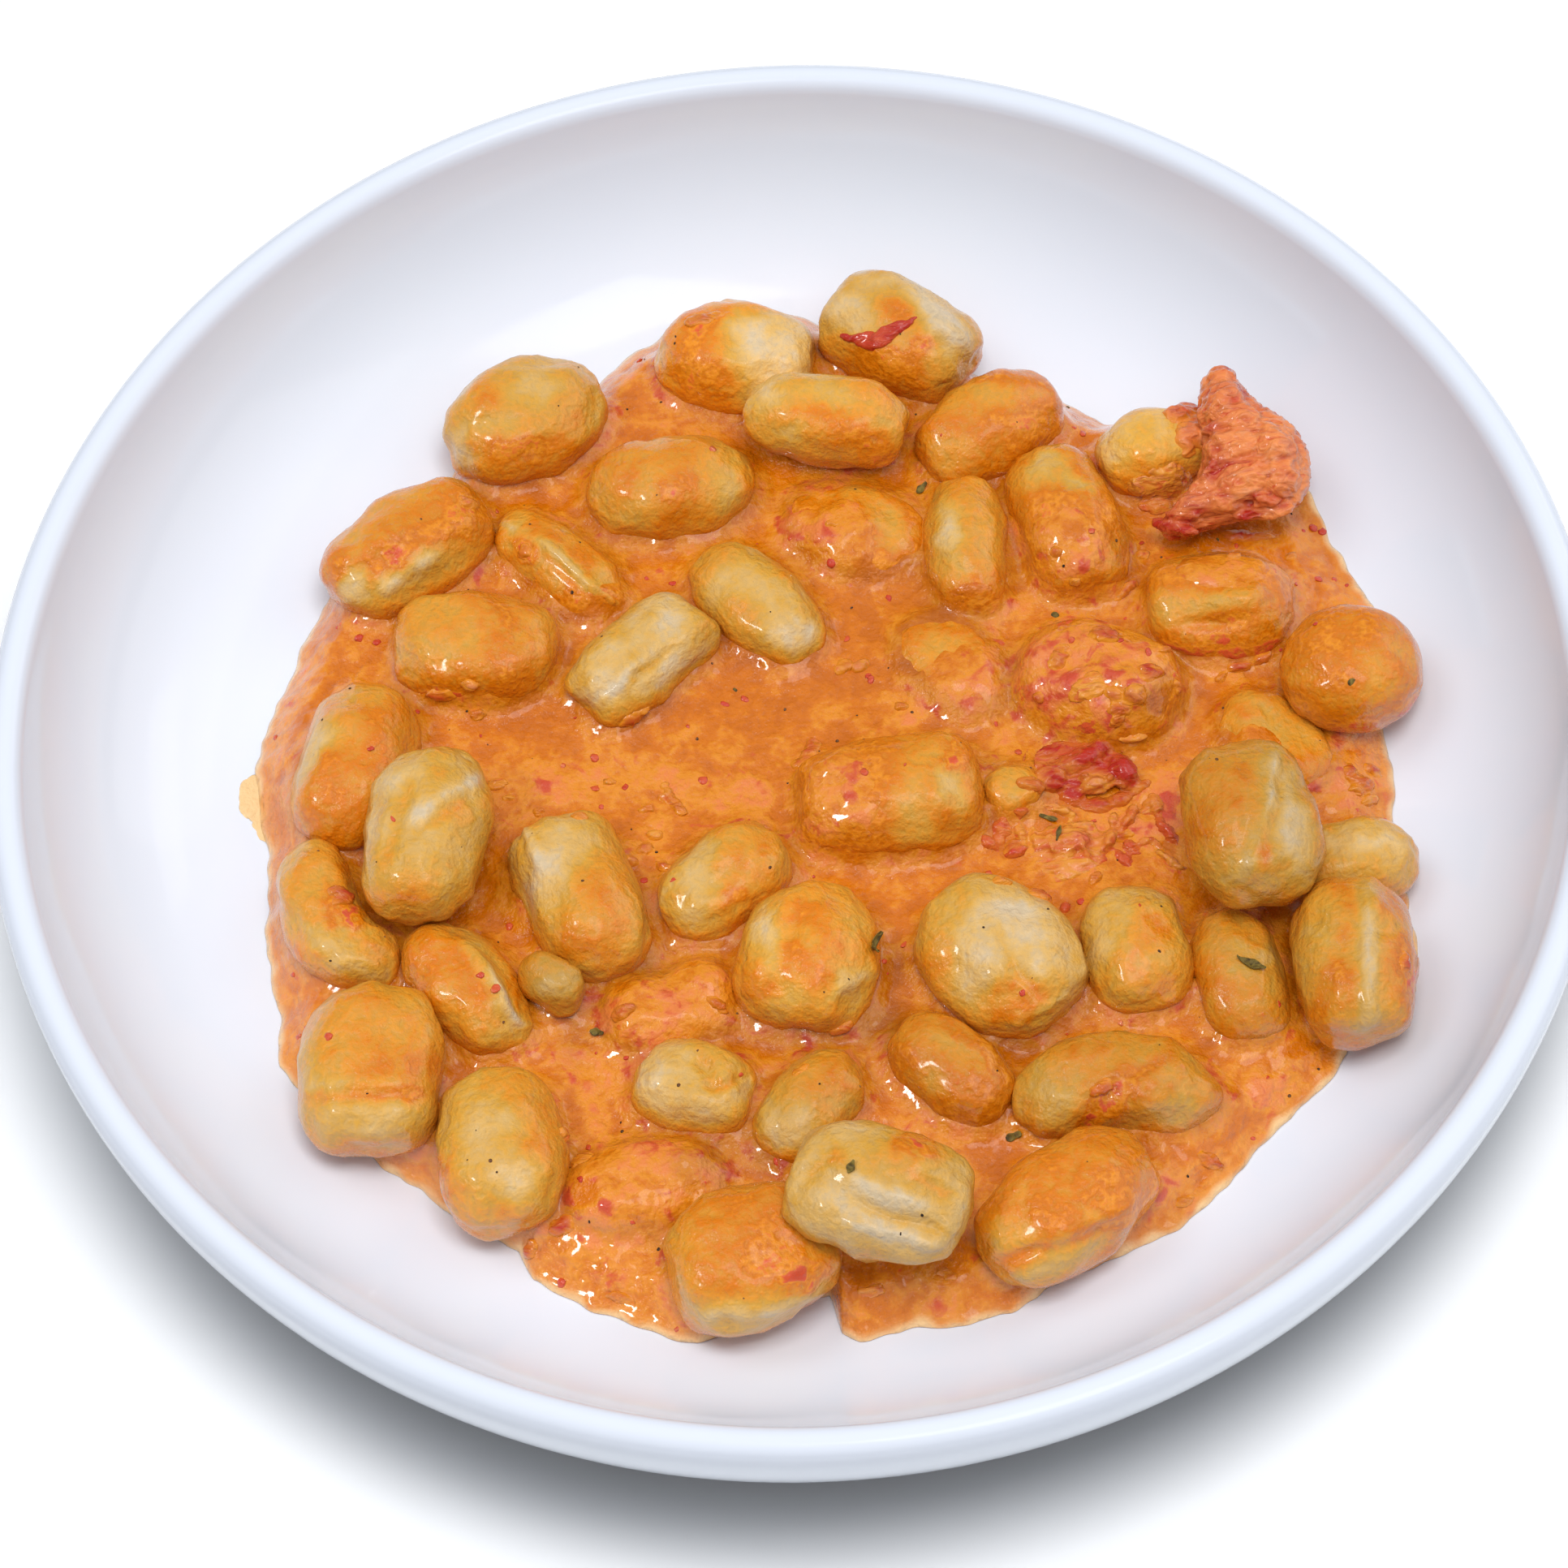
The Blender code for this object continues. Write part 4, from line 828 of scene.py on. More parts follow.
def fibre_group():
    """Fibres of cooked tomato, drawn out along x."""
    def fill(tree, given):
        drawn = add_node(tree, "ShaderNodeMapping", {
            "Vector": given["Vector"], "Scale": FIBRE_STRETCH}).outputs["Vector"]
        return [noise_node(tree, drawn, given["Scale"], detail=3.0, distortion=1.0)]
    return shared_group("tomato fibres", (VECTOR_SOCKET, ("Scale", "NodeSocketFloat", 240.0)),
                        (("Fibres", "NodeSocketFloat"),), fill)


def sauce_group(tones):
    """The colour of the sauce by its tone, from clear orange oil to pink with tomato."""
    def fill(tree, given):
        vector = given["Vector"]
        tone = given["Tone"]
        height = group_node(tree, grain_group(), Vector=vector, Scale=170.0)["Height"]
        patches = centred_node(tree, noise_node(tree, vector, 190.0, detail=2.0, distortion=0.8))
        varied = math_node(tree, "MULTIPLY_ADD", patches, 1.3, tone)
        mixed = math_node(tree, "MULTIPLY_ADD", centred_node(tree, height), 1.5, varied, clamp=True)
        colour = ramp_node(tree, mixed, (
            (0.0, tones.sauce_oil), (0.35, tones.sauce_plain), (0.65, tones.sauce_cream),
            (1.0, tones.sauce_pink)))
        flecks = group_node(tree, fleck_group(), Vector=vector, Scale=300.0,
                            Amount=range_node(tree, tone, 0.15, 1.1))
        fleck_part = math_node(tree, "MULTIPLY", flecks["Mask"], 0.6)
        colour = mix_node(tree, fleck_part, colour, tones.tomato_soft)
        streaks = noise_node(tree, vector, 300.0, detail=3.0, distortion=0.6)
        red = range_node(tree, math_node(tree, "MULTIPLY_ADD", streaks, 2.0, tone), 1.75, 2.35)
        red_part = math_node(tree, "MULTIPLY", red, 0.8)
        return mix_node(tree, red_part, colour, tones.tomato_bits), height
    return shared_group(
        "sauce colour", (VECTOR_SOCKET, ("Tone", "NodeSocketFloat", 0.5)),
        (("Color", "NodeSocketColor"), ("Height", "NodeSocketFloat")), fill)


def new_material(name, roughness, coat=0.0, coat_roughness=0.1):
    """A material with its Principled shader, its tree and its object coordinates."""
    made = bpy.data.materials.new(name)
    made.use_nodes = True
    tree = made.node_tree
    shader = tree.nodes["Principled BSDF"]
    shader.inputs["Roughness"].default_value = roughness
    shader.inputs["Coat Weight"].default_value = coat
    shader.inputs["Coat Roughness"].default_value = coat_roughness
    place = add_node(tree, "ShaderNodeTexCoord").outputs["Object"]
    return made, tree, shader, place


def add_bump(tree, shader, height, depth, strength):
    bump = add_node(tree, "ShaderNodeBump", {
        "Height": height, "Distance": depth, "Strength": strength})
    tree.links.new(bump.outputs["Normal"], shader.inputs["Normal"])


def attribute_node(tree, name):
    return add_node(tree, "ShaderNodeAttribute", attribute_name=name).outputs["Fac"]


# ---------------------------------------------------------------- materials

def glaze_material(settings):
    """White glaze with a slight ripple, and the bare ring that the bowl stands on."""
    made, tree, shader, place = new_material("white glaze", settings.gloss)
    height = add_node(tree, "ShaderNodeSeparateXYZ", {0: place}).outputs["Z"]
    bare = range_node(tree, height, *BARE_CLAY_HEIGHTS, 1.0, 0.0)
    grain = group_node(tree, grain_group(), Vector=place, Scale=22.0)
    body = mix_node(tree, grain["Mottle"], settings.white, settings.white_deep)
    # painted shade on the lip
    lip = range_node(tree, height, *LIP_SHADE_HEIGHTS)
    glazed = mix_node(tree, lip, body, settings.lip_painted_shade)
    tree.links.new(mix_node(tree, bare, glazed, settings.bare_clay), shader.inputs["Base Color"])
    rough = range_node(tree, grain["Grain"], 0.3, 0.7, settings.gloss * 0.7, settings.gloss * 1.3)
    bare_rough = math_node(tree, "MULTIPLY", bare, CLAY_ROUGHNESS)
    tree.links.new(math_node(tree, "MAXIMUM", rough, bare_rough), shader.inputs["Roughness"])
    add_bump(tree, shader, grain["Mottle"], 0.00025, 0.35)
    return made


def dough_material(tones):
    """Boiled dough under a coat of sauce that the piece's own coat values give."""
    made, tree, shader, place = new_material("gnocchi dough", 0.5, coat=0.6)
    grain = group_node(tree, grain_group(), Vector=place, Scale=165.0)
    laid = attribute_node(tree, "coat")
    broken = math_node(tree, "MULTIPLY_ADD", laid, 0.8, 0.5)
    swing = math_node(tree, "MULTIPLY", centred_node(tree, grain["Height"]), broken)
    coat = math_node(tree, "ADD", swing, laid)
    half = math_node(tree, "MULTIPLY", coat, 0.5, clamp=True)
    colour = ramp_node(tree, half, (
        (0.0, tones.dough_bare), (0.1, tones.dough_straw), (0.22, tones.dough_ochre),
        (0.34, tones.dough_orange), (0.46, tones.sauce_plain), (0.56, tones.sauce_cream),
        (0.66, tones.tomato_soft), (1.0, tones.tomato_bits)))
    fine = range_node(tree, grain["Grain"], 0.35, 0.65, 0.93, 1.05)
    # painted light and shade of each gnocco, from its shade value
    fine = math_node(tree, "MULTIPLY", fine, attribute_node(tree, "shade"))
    dots = group_node(tree, fleck_group(), Vector=place, Scale=520.0, Amount=0.2)
    dot_part = math_node(tree, "MULTIPLY", dots["Mask"],
                         range_node(tree, coat, 0.2, 1.0, 0.08, 0.5))
    shaded = scaled_node(tree, colour, fine)
    tree.links.new(mix_node(tree, dot_part, shaded, tones.tomato_soft),
                   shader.inputs["Base Color"])
    tree.links.new(range_node(tree, coat, 0.2, 0.9, 0.42, 0.26), shader.inputs["Roughness"])
    add_bump(tree, shader, grain["Height"], 0.0012, 0.8)
    return made


def sauce_material(tones):
    """Creamy tomato sauce: glossy where it is oil, duller where it is thick."""
    made, tree, shader, place = new_material(
        "tomato cream sauce", 0.3, coat=1.0, coat_roughness=0.07)
    tone = attribute_node(tree, "tone")
    colours = group_node(tree, sauce_group(tones), Vector=place, Tone=tone)
    # the shade values darken the sauce: painted shade in the gaps between gnocchi
    shaded = scaled_node(tree, colours["Color"], attribute_node(tree, "shade"))
    edged = mix_node(tree, attribute_node(tree, "thin"), shaded, tones.sauce_edge)
    tree.links.new(mix_node(tree, attribute_node(tree, "pale"), edged, tones.sauce_pale),
                   shader.inputs["Base Color"])
    tree.links.new(range_node(tree, tone, 0.0, 0.6, 0.18, 0.3), shader.inputs["Roughness"])
    add_bump(tree, shader, colours["Height"], 0.0016, 0.7)
    return made


def tomato_material(tones, name, flesh, skin):
    """Soft cooked tomato: fibrous flesh, and skin where the piece's skin values say; these values also
    hold painted shade in hollows.
    """
    made, tree, shader, place = new_material(name, 0.33, coat=0.8)
    fibres = group_node(tree, fibre_group(), Vector=place, Scale=240.0)["Fibres"]
    flesh_colour = ramp_node(tree, fibres, (
        (0.3, tones.tomato_soft), (0.45, flesh), (0.55, flesh), (0.7, tones.tomato_pale)))
    swing = centred_node(tree, fibres)
    skin_part = math_node(tree, "MULTIPLY_ADD", swing, 2.0, attribute_node(tree, "skin"),
                          clamp=True)
    laid = attribute_node(tree, "sauced")
    broken = math_node(tree, "MULTIPLY", swing, laid)
    sauced = math_node(tree, "MULTIPLY_ADD", broken, 2.0, laid, clamp=True)
    colour = mix_node(tree, skin_part, flesh_colour, skin)
    tree.links.new(mix_node(tree, sauced, colour, tones.sauce_cream), shader.inputs["Base Color"])
    tree.links.new(range_node(tree, skin_part, 0.0, 1.0, 0.34, 0.22), shader.inputs["Roughness"])
    add_bump(tree, shader, fibres, 0.0012, 0.7)
    return made


def speck_material(name, scale, detail, stops, depth, **noise_settings):
    """A dull material of two colours that change over each small bit."""
    made, tree, shader, place = new_material(name, 0.6)
    shades = noise_node(tree, place, scale, detail, **noise_settings)
    tree.links.new(ramp_node(tree, shades, stops), shader.inputs["Base Color"])
    add_bump(tree, shader, shades, *depth)
    return made


def herb_material(tones):
    """Boiled herb, browned by the sauce."""
    return speck_material(
        "cooked herb", 900.0, 3.0, ((0.35, tones.herb_dark), (0.65, tones.herb_light)),
        (0.0003, 0.6), distortion=1.0)


def pepper_material(tones):
    """Crushed pepper, husk and kernel."""
    return speck_material(
        "pepper", 1200.0, 2.0, ((0.4, tones.pepper_dark), (0.62, tones.pepper_brown)),
        (0.0001, 0.5))


# ---------------------------------------------------------------- bowl

def bowl_profile():
    """(radius, height) from the middle of the inside, over the lip and under to the foot."""
    rise = radians(WALL_END_ANGLE)
    profile = [(share * FLOOR_RADIUS, FLOOR_HEIGHT) for share in (0.25, 0.5, 0.75, 0.9, 1.0)]
    for step in range(1, WALL_STEPS + 1):
        angle = rise * WALL_SHARE * step / WALL_STEPS
        profile.append((FLOOR_RADIUS + WALL_REACH * sin(angle),
                        FLOOR_HEIGHT + WALL_RISE * (1 - cos(angle))))
    _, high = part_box("bowl")
    rim = high.x / MM
    top = high.z / MM
    profile += [(rim - inwards, top - down) for inwards, down in LIP_ROUND]
    outer_rise = top - LIP_DROP - OUTER_FLOOR_HEIGHT
    for step in range(1, WALL_STEPS + 1):
        angle = pi / 2 * (1 - step / WALL_STEPS)
        profile.append((OUTER_FLOOR_RADIUS + (rim - OUTER_FLOOR_RADIUS) * sin(angle),
                        OUTER_FLOOR_HEIGHT + outer_rise * (1 - cos(angle))))
    profile += [(FOOT_RADIUS + out, height) for out, height in FOOT_OUTSIDE]
    inner = FOOT_RADIUS - FOOT_WIDTH
    profile += [(inner + out, height) for out, height in FOOT_INSIDE]
    profile += [(share * inner, FOOT_RECESS) for share in (0.9, 0.6, 0.3)]
    return profile


def bowl_mesh(sides):
    profile = bowl_profile()
    points = []
    for radius, height in profile:
        for side in range(sides):
            angle = 2 * pi * side / sides
            points.append((radius * cos(angle), radius * sin(angle), height))
    faces = [face[::-1] for face in ring_faces(len(profile), sides)]
    inside = len(points)
    points.append((0, 0, profile[0][1]))
    points.append((0, 0, profile[-1][1]))
    last = (len(profile) - 1) * sides
    for side in range(sides):
        ahead = (side + 1) % sides
        faces.append((inside, side, ahead))
        faces.append((inside + 1, last + ahead, last + side))
    return mesh_of("bowl", points, faces)


def bowl_height(radius):
    """Height of the inside of the bowl at this distance from its middle."""
    out = np.clip((radius - FLOOR_RADIUS) / WALL_REACH, 0, 0.98)
    return FLOOR_HEIGHT + WALL_RISE * (1 - np.sqrt(1 - out ** 2))


# ---------------------------------------------------------------- gnocchi

def middle_of(mesh):
    points = points_of(mesh)
    return (points.min(axis=0) + points.max(axis=0)) / 2


def as_seen(points, middle):
    """Millimetres right and up of the middle, as the diner sees these points."""
    away = points - middle
    return away @ np.array(VIEW_RIGHT), away @ np.array(VIEW_UP)


def facing(mesh):
    """1 where the surface faces the diner and 0 where it faces away."""
    turned = np.clip((normals_of(mesh) @ np.array(VIEW_TOWARDS) + 0.25) / 0.5, 0, 1)
    return turned * turned * (3 - 2 * turned)


def fold_height(right, up, folds, wobble):
    """Height of the folds and grooves at each place on a piece."""
    height = np.zeros(len(right))
    for x, y, length, turn, half_width, tall in folds:
        along, across = turned_from(right, up, x, y, turn)
        across += FOLD_WOBBLE * wobble
        past = np.clip(np.abs(along) - length / 2 + FOLD_END, 0, None) / FOLD_END
        height += tall * np.exp(-(across / half_width) ** 2 - past ** 2)
    return height


def shape_gnocco(mesh, number, wrinkle, fold):
    """Gives a gnocco its lumps, wrinkles and folds, and its coat of sauce."""
    points = points_of(mesh)
    normals = normals_of(mesh)
    shown = facing(mesh)
    right, up = as_seen(points, middle_of(mesh))
    broad, middling, small, creases, sway, ridges = noises_of(points, DOUGH_NOISE, number)
    fine = wrinkle * (0.3 * middling - 0.32 * np.abs(creases) + 0.13 * small)
    fine += fold * shown * fold_height(right, up, FOLDS.get(number, ()), middling)
    base, *marks = COATS[number]
    warp_right = right + COAT_WARP * middling + 0.8 * small
    warp_up = up + COAT_WARP * sway + 0.8 * small
    coat = base + 0.24 * broad + 0.3 * middling + 0.16 * small
    for *mark, strength in marks:
        part = shown * mark_weight(warp_right, warp_up, mark, COAT_SOFTNESS)
        if strength > REDDEST_SAUCE:
            part *= np.clip(0.6 + 1.3 * small, 0, 1)
        coat = coat * (1 - part) + strength * part
    coat -= HOLLOW_COAT * np.clip(fine + 0.05, -0.6, 0.6)
    coat += UNDERSIDE_COAT * np.clip(0.45 - normals[:, 2], 0, 0.6)
    wet = np.clip((SAUCE_LEVEL + WET_HEIGHT + 1.4 * middling - points[:, 2]) / WET_FADE, 0, 1)
    coat = coat * (1 - wet) + np.maximum(coat, WET_COAT) * wet
    height = LUMPS.get(number, PLAIN_LUMPS) * (broad + (0.3 - np.abs(ridges))) + fine
    height += COAT_THICKNESS * np.clip((coat - 0.45) / 0.3, 0, 1)
    move_points(mesh, points + normals * height[:, None])
    add_values(mesh, coat=np.clip(coat, 0, 2), shade=LIGHTNESS_AND_PAINTED_SHADE.get(number, 1.0))


# ---------------------------------------------------------------- sauce

def outline_reach(angle):
    """How far the sauce reaches from its middle at each angle."""
    corners = np.array(SAUCE_OUTLINE, float) - SAUCE_MIDDLE
    turns = np.arctan2(corners[:, 1], corners[:, 0]) % (2 * pi)
    reach = np.hypot(corners[:, 0], corners[:, 1])
    order = np.argsort(turns)
    return np.interp(angle % (2 * pi), turns[order], reach[order], period=2 * pi)


def sauce_grid(cells):
    """Points of a round grid that fills the sauce's outline, and how near each is to its edge."""
    steps = np.linspace(-1, 1, cells + 1)
    u, v = np.meshgrid(steps, steps, indexing="xy")
    x = (u * np.sqrt(1 - v ** 2 / 2)).ravel()
    y = (v * np.sqrt(1 - u ** 2 / 2)).ravel()
    share = np.minimum(np.hypot(x, y), 1)
    angle = np.arctan2(y, x)
    around = np.stack([np.cos(angle), np.sin(angle), np.zeros(len(angle))], axis=1)
    waves, ripples = noises_of(around * SAUCE_REACH, SAUCE_EDGE_NOISE)
    reach = outline_reach(angle) + 1.3 * waves + 0.6 * ripples
    mean = reach.mean()
    radius = share * (mean + (reach - mean) * share ** 2)
    places = np.stack([SAUCE_MIDDLE[0] + radius * np.cos(angle),
                       SAUCE_MIDDLE[1] + radius * np.sin(angle)], axis=1)
    return places, reach - radius


def climb(places, level, tree):
    """How far the sauce climbs the food beside each place, with all of it inside the food."""
    risen = np.zeros(len(places))
    for index, (x, y) in enumerate(places.tolist()):
        start = Vector((x, y, level[index] + 0.6))
        near, normal, _, distance = tree.find_nearest(start, CLIMB_SEARCH)
        if near is None:
            continue
        if (start - near).dot(normal) < 0:
            risen[index] = SAUCE_CLIMB
        else:
            risen[index] = SAUCE_CLIMB * np.exp(-distance / SAUCE_CLIMB_WIDTH)
    return risen


def smooth_max(first, second, softness):
    part = np.clip(0.5 + 0.5 * (second - first) / softness, 0, 1)
    return first * (1 - part) + second * part + softness * part * (1 - part)


def cover(places, height, mesh, thickness, marks):
    """Raises the sauce over a gnocco, all over it or only in these marks."""
    tree = tree_of(mesh)
    middle = middle_of(mesh)
    corners = points_of(mesh)
    low = corners.min(axis=0)[:2] - 0.5
    high = corners.max(axis=0)[:2] + 0.5
    inside = np.flatnonzero(((places > low) & (places < high)).all(axis=1))
    for index in inside.tolist():
        place, _ = from_above(tree, *places[index].tolist())
        if place is None:
            continue
        over = 1.0
        if marks:
            right, up = as_seen(np.array([place]), middle)
            over = max(float(mark_weight(right, up, mark, COVER_SOFTNESS)[0]) for mark in marks)
        hump = place.z - BARE_DROP + (thickness + BARE_DROP) * over
        height[index] = smooth_max(height[index], hump, SAUCE_SOFTNESS)


def blurred(values, cells, times):
    """Values on the sauce's grid, each drawn halfway to its neighbours this many times."""
    grid = values.reshape(cells + 1, cells + 1).copy()
    for _ in range(times):
        around = np.pad(grid, 1, mode="edge")
        near = (around[:-2, 1:-1] + around[2:, 1:-1] + around[1:-1, :-2] + around[1:-1, 2:]) / 4
        grid = 0.5 * grid + 0.5 * near
    return grid.ravel()


def sauce_tones(points):
    """The tone of the sauce at each point, with the edges of its patches blurred and uneven."""
    seen = plate_reading(points)
    sway, small_sway, rise, small_rise, broad, fine = noises_of(points, TONE_NOISE)
    right = seen[:, 0] + TONE_WARP * sway + small_sway
    up = seen[:, 1] + TONE_WARP * rise + small_rise
    tone = 0.5 + 0.2 * broad + 0.16 * fine
    for *mark, strength in SAUCE_TONES:
        part = 0.85 * mark_weight(right, up, mark, TONE_SOFTNESS)
        tone = tone * (1 - part) + strength * part
    return np.clip(tone, 0, 1)


def sauce_heights(places, inwards, cells, gnocchi, floor):
    """(height, plain level, climb) of the sauce, before its fine relief."""
    near_edge = np.clip(inwards / SAUCE_EDGE_ROUND, 0, 1)
    edge = floor + SAUCE_FILM + (SAUCE_EDGE - SAUCE_FILM) * np.sqrt(1 - (1 - near_edge) ** 2)
    up_slope = np.clip(inwards / SAUCE_SLOPE, 0, 1)
    level = edge + np.clip(SAUCE_LEVEL - edge, 0, None) * np.sin(up_slope * pi / 2) ** 1.3
    risen = climb(places, level, tree_of(*gnocchi.values())) * np.clip(inwards / 2.0, 0, 1)
    height = level + risen
    for number, (thickness, marks) in SAUCE_OVER.items():
        cover(places, height, gnocchi[number], thickness, marks)
    return blurred(height, cells, 3), level, risen


def at_climb(risen, share, width):
    """1 where the sauce has climbed this share of its way up a gnocco, falling off either side."""
    return np.exp(-((risen - share * SAUCE_CLIMB) / (width * SAUCE_CLIMB)) ** 2)


def closed_pool(places, height, floor, cells):
    """Points and faces of the sauce's surface, its rim down to the bowl and its underside."""
    count = cells + 1
    index = np.arange(count * count).reshape(count, count)
    faces = np.stack([index[:-1, :-1], index[:-1, 1:], index[1:, 1:], index[1:, :-1]],
                     axis=-1).reshape(-1, 4).tolist()
    rim = (index[0, :-1].tolist() + index[:-1, -1].tolist() + index[-1, :0:-1].tolist()
           + index[:0:-1, 0].tolist())
    points = np.stack([places[:, 0], places[:, 1], height], axis=1).tolist()
    under = len(points)
    for corner in rim:
        points.append((*places[corner], float(floor[corner]) + SAUCE_GAP))
    low = len(points)
    for corner in rim:
        x, y = places[corner]
        share = min(1.0, FLOOR_RADIUS * 0.98 / np.hypot(x, y))
        points.append((x * share, y * share, FLOOR_HEIGHT + SAUCE_GAP))
    middle = len(points)
    points.append((*SAUCE_MIDDLE, FLOOR_HEIGHT + SAUCE_GAP))
    for side in range(len(rim)):
        ahead = (side + 1) % len(rim)
        faces.append((rim[ahead], rim[side], under + side, under + ahead))
        faces.append((under + ahead, under + side, low + side, low + ahead))
        faces.append((low + ahead, low + side, middle))
    return points, faces


def sauce_mesh(cells, gnocchi, relief):
    """The pool of sauce, round and over the gnocchi, closed under against the bowl."""
    places, inwards = sauce_grid(cells)
    floor = bowl_height(np.hypot(places[:, 0], places[:, 1]))
    height, level, risen = sauce_heights(places, inwards, cells, gnocchi, floor)
    flat = np.stack([places[:, 0], places[:, 1], height], axis=1)
    waves, ripples, grain, strands, fringe, ringing, wobble = noises_of(flat, SAUCE_NOISE)
    tone = sauce_tones(flat)
    tone += (0.85 - tone) * 0.6 * at_climb(risen, 0.55, 0.25) * (0.5 + 0.5 * ringing)
    tone += (0.1 - tone) * 0.45 * at_climb(risen, 0.15, 0.1)
    rough = (0.45 * waves + 0.5 * ripples + 0.22 * grain) * (relief * (0.15 + 1.05 * tone))
    rough += relief * np.clip((tone - 0.8) / 0.3, 0, 1) * 1.5 * (0.35 - np.abs(strands))
    height = np.maximum(height + rough * np.clip(inwards / 3, 0, 1), floor + 0.1)
    mesh = mesh_of("sauce", *closed_pool(places, height, floor, cells))
    # Painted shade: low sauce in narrow gaps between gnocchi is painted darker
    crowd = blurred(np.clip(risen / SAUCE_CLIMB, 0, 1), cells, CROWD_ROUNDS)
    low = np.clip(1 - (height - level - SAUCE_CLIMB), 0, 1)
    shade = 1 - CROWD_SHADE * low * np.clip((crowd - 0.35) / 0.5, 0, 1)
    right, up = (plate_reading(flat) + 1.5 * wobble[:, None]).T
    # Painted shade: the sauce is darker in the listed gaps between gnocchi
    for *mark, strength in PAINTED_GAP_SHADE:
        shade *= 1 - strength * mark_weight(right, up, mark, GAP_SHADE_SOFTNESS)
    ragged = inwards + 1.0 * fringe
    shown = {
        "tone": (np.clip(tone + 0.7 * rough, 0, 1.3), 0.5),
        "shade": (shade, 0.8),
        "thin": (0.8 * (1 - np.clip(ragged / THIN_EDGE, 0, 1)), 0.8),
        "pale": (0.75 * (1 - np.clip(ragged / PALE_EDGE, 0, 1)), 0.0),
    }
    for name, (values, hidden) in shown.items():
        whole = np.full(len(mesh.vertices), hidden)
        whole[:len(values)] = values
        add_values(mesh, **{name: whole})
    return mesh


# ---------------------------------------------------------------- tomato

def lump_mesh(place, normal, half_sizes, turn):
    """A round lump that lies on a surface, turned in the diner's view."""
    across = VIEW_RIGHT * cos(radians(turn)) + VIEW_UP * sin(radians(turn))
    along = (across - normal * across.dot(normal)).normalized()
    turned = Matrix((along, normal.cross(along), normal)).transposed()
    mesh = ball_mesh("lump", 3)
    for corner in mesh.vertices:
        corner.co = (place + turned @ (corner.co * Vector(half_sizes))) * MM
    return mesh


def packed_tomato(node):
    """A refined copy of a packed piece of tomato, as flat above the sauce as it shows."""
    mesh = refined_copy(node, 3)
    points = points_of(mesh)
    above = np.clip(points[:, 2] - SAUCE_LEVEL, 0, None)
    points[:, 2] -= above * (1 - TOMATO_FLAT[node])
    move_points(mesh, points)
    return mesh


def fused(name, meshes, cell):
    """One closed surface round all of these meshes, softened where they meet."""
    piece = link_object(name, joined(name, meshes))
    fuse = piece.modifiers.new("fuse", "REMESH")
    fuse.mode = "VOXEL"
    fuse.voxel_size = cell * MM
    soften = piece.modifiers.new("soften", "SMOOTH")
    soften.factor = 0.6
    soften.iterations = 3
    mesh = evaluated_mesh(piece, name)
    drop_object(piece)
    mesh.shade_smooth()
    return mesh


def tomato_mesh(name, lumps, bed, food, core, cell, height, most_sauce=0.9):
    """A piece of tomato: its lumps laid on the food, fused with a core, with fibres and skin."""
    sunk = SUNK_IN_CORE if core else SUNK_IN_SAUCE
    meshes = []
    middles = []
    for x, y, *sizes, turn, red in lumps:
        place, normal = seen_place(x, y, bed)
        middle = place - normal * sunk * sizes[2]
        meshes.append(lump_mesh(middle, normal, sizes, turn))
        middles.append((*middle, 0.8 * (sizes[0] + sizes[1]) / 2, red))
    if core:
        shrunk = packed_tomato(core)
        move_points(shrunk, points_of(shrunk) - normals_of(shrunk) * TOMATO_SHRINK)
        meshes.append(shrunk)
    mesh = fused(name, meshes, cell)
    points = points_of(mesh)
    fibres, small = noises_of(points * np.array(FIBRE_STRETCH), FIBRE_NOISE)
    waves, blotches = noises_of(points, FLESH_NOISE)
    bumps = 0.6 * waves + 1.1 * (0.3 - np.abs(fibres)) + 0.7 * (0.25 - np.abs(small))
    moved = points + normals_of(mesh) * (height * bumps)[:, None]
    move_points(mesh, moved)
    weight = np.full(len(points), 1e-6)
    red = np.zeros(len(points))
    for x, y, z, reach, redness in middles:
        near = np.exp(-((points - (x, y, z)) ** 2).sum(axis=1) / reach ** 2)
        weight += near
        red += near * redness
    # Painted shade: hollows are painted darker and redder, raised parts paler
    hollow = np.clip(0.25 - bumps, -0.5, 0.8)
    skin = red / weight + 0.2 * fibres + 0.3 * blotches + HOLLOW_RED_AND_SHADE * hollow
    above = np.array([food.find_nearest(Vector(point))[3] for point in moved.tolist()])
    sauced = np.clip(1.15 - (above - 0.3 * fibres) / SAUCED_HEIGHT, 0, most_sauce)
    add_values(mesh, skin=np.clip(skin, 0, 1), sauced=sauced)
    return mesh


def outwards(mesh):
    """Turns all faces of a closed mesh to face out."""
    work = bmesh.new()
    work.from_mesh(mesh)
    bmesh.ops.recalc_face_normals(work, faces=work.faces)
    work.to_mesh(mesh)
    work.free()
    mesh.shade_smooth()
    return mesh


def joined(name, meshes):
    """One mesh of all of these, with their own values kept."""
    work = bmesh.new()
    for mesh in meshes:
        work.from_mesh(mesh)
        bpy.data.meshes.remove(mesh)
    return mesh_from(work, name)


def drip_mesh(place, normal, size, seed, turn):
    """A smooth drip of this (length, width, height), lying on the bowl."""
    mesh = ball_mesh("drip", 4)
    points = points_of(mesh) * MM
    broad, small = noises_of(points * 10, DRIP_NOISE, seed)
    uneven = 1 + 0.2 * broad + 0.1 * small
    points = points * uneven[:, None] * np.array(size) / 2
    move_points(mesh, points @ np.array(laid_turn(normal, turn)).T + np.array(place))
    add_values(mesh, tone=0.4, thin=1.0, shade=1.0, pale=0.85)
    return mesh


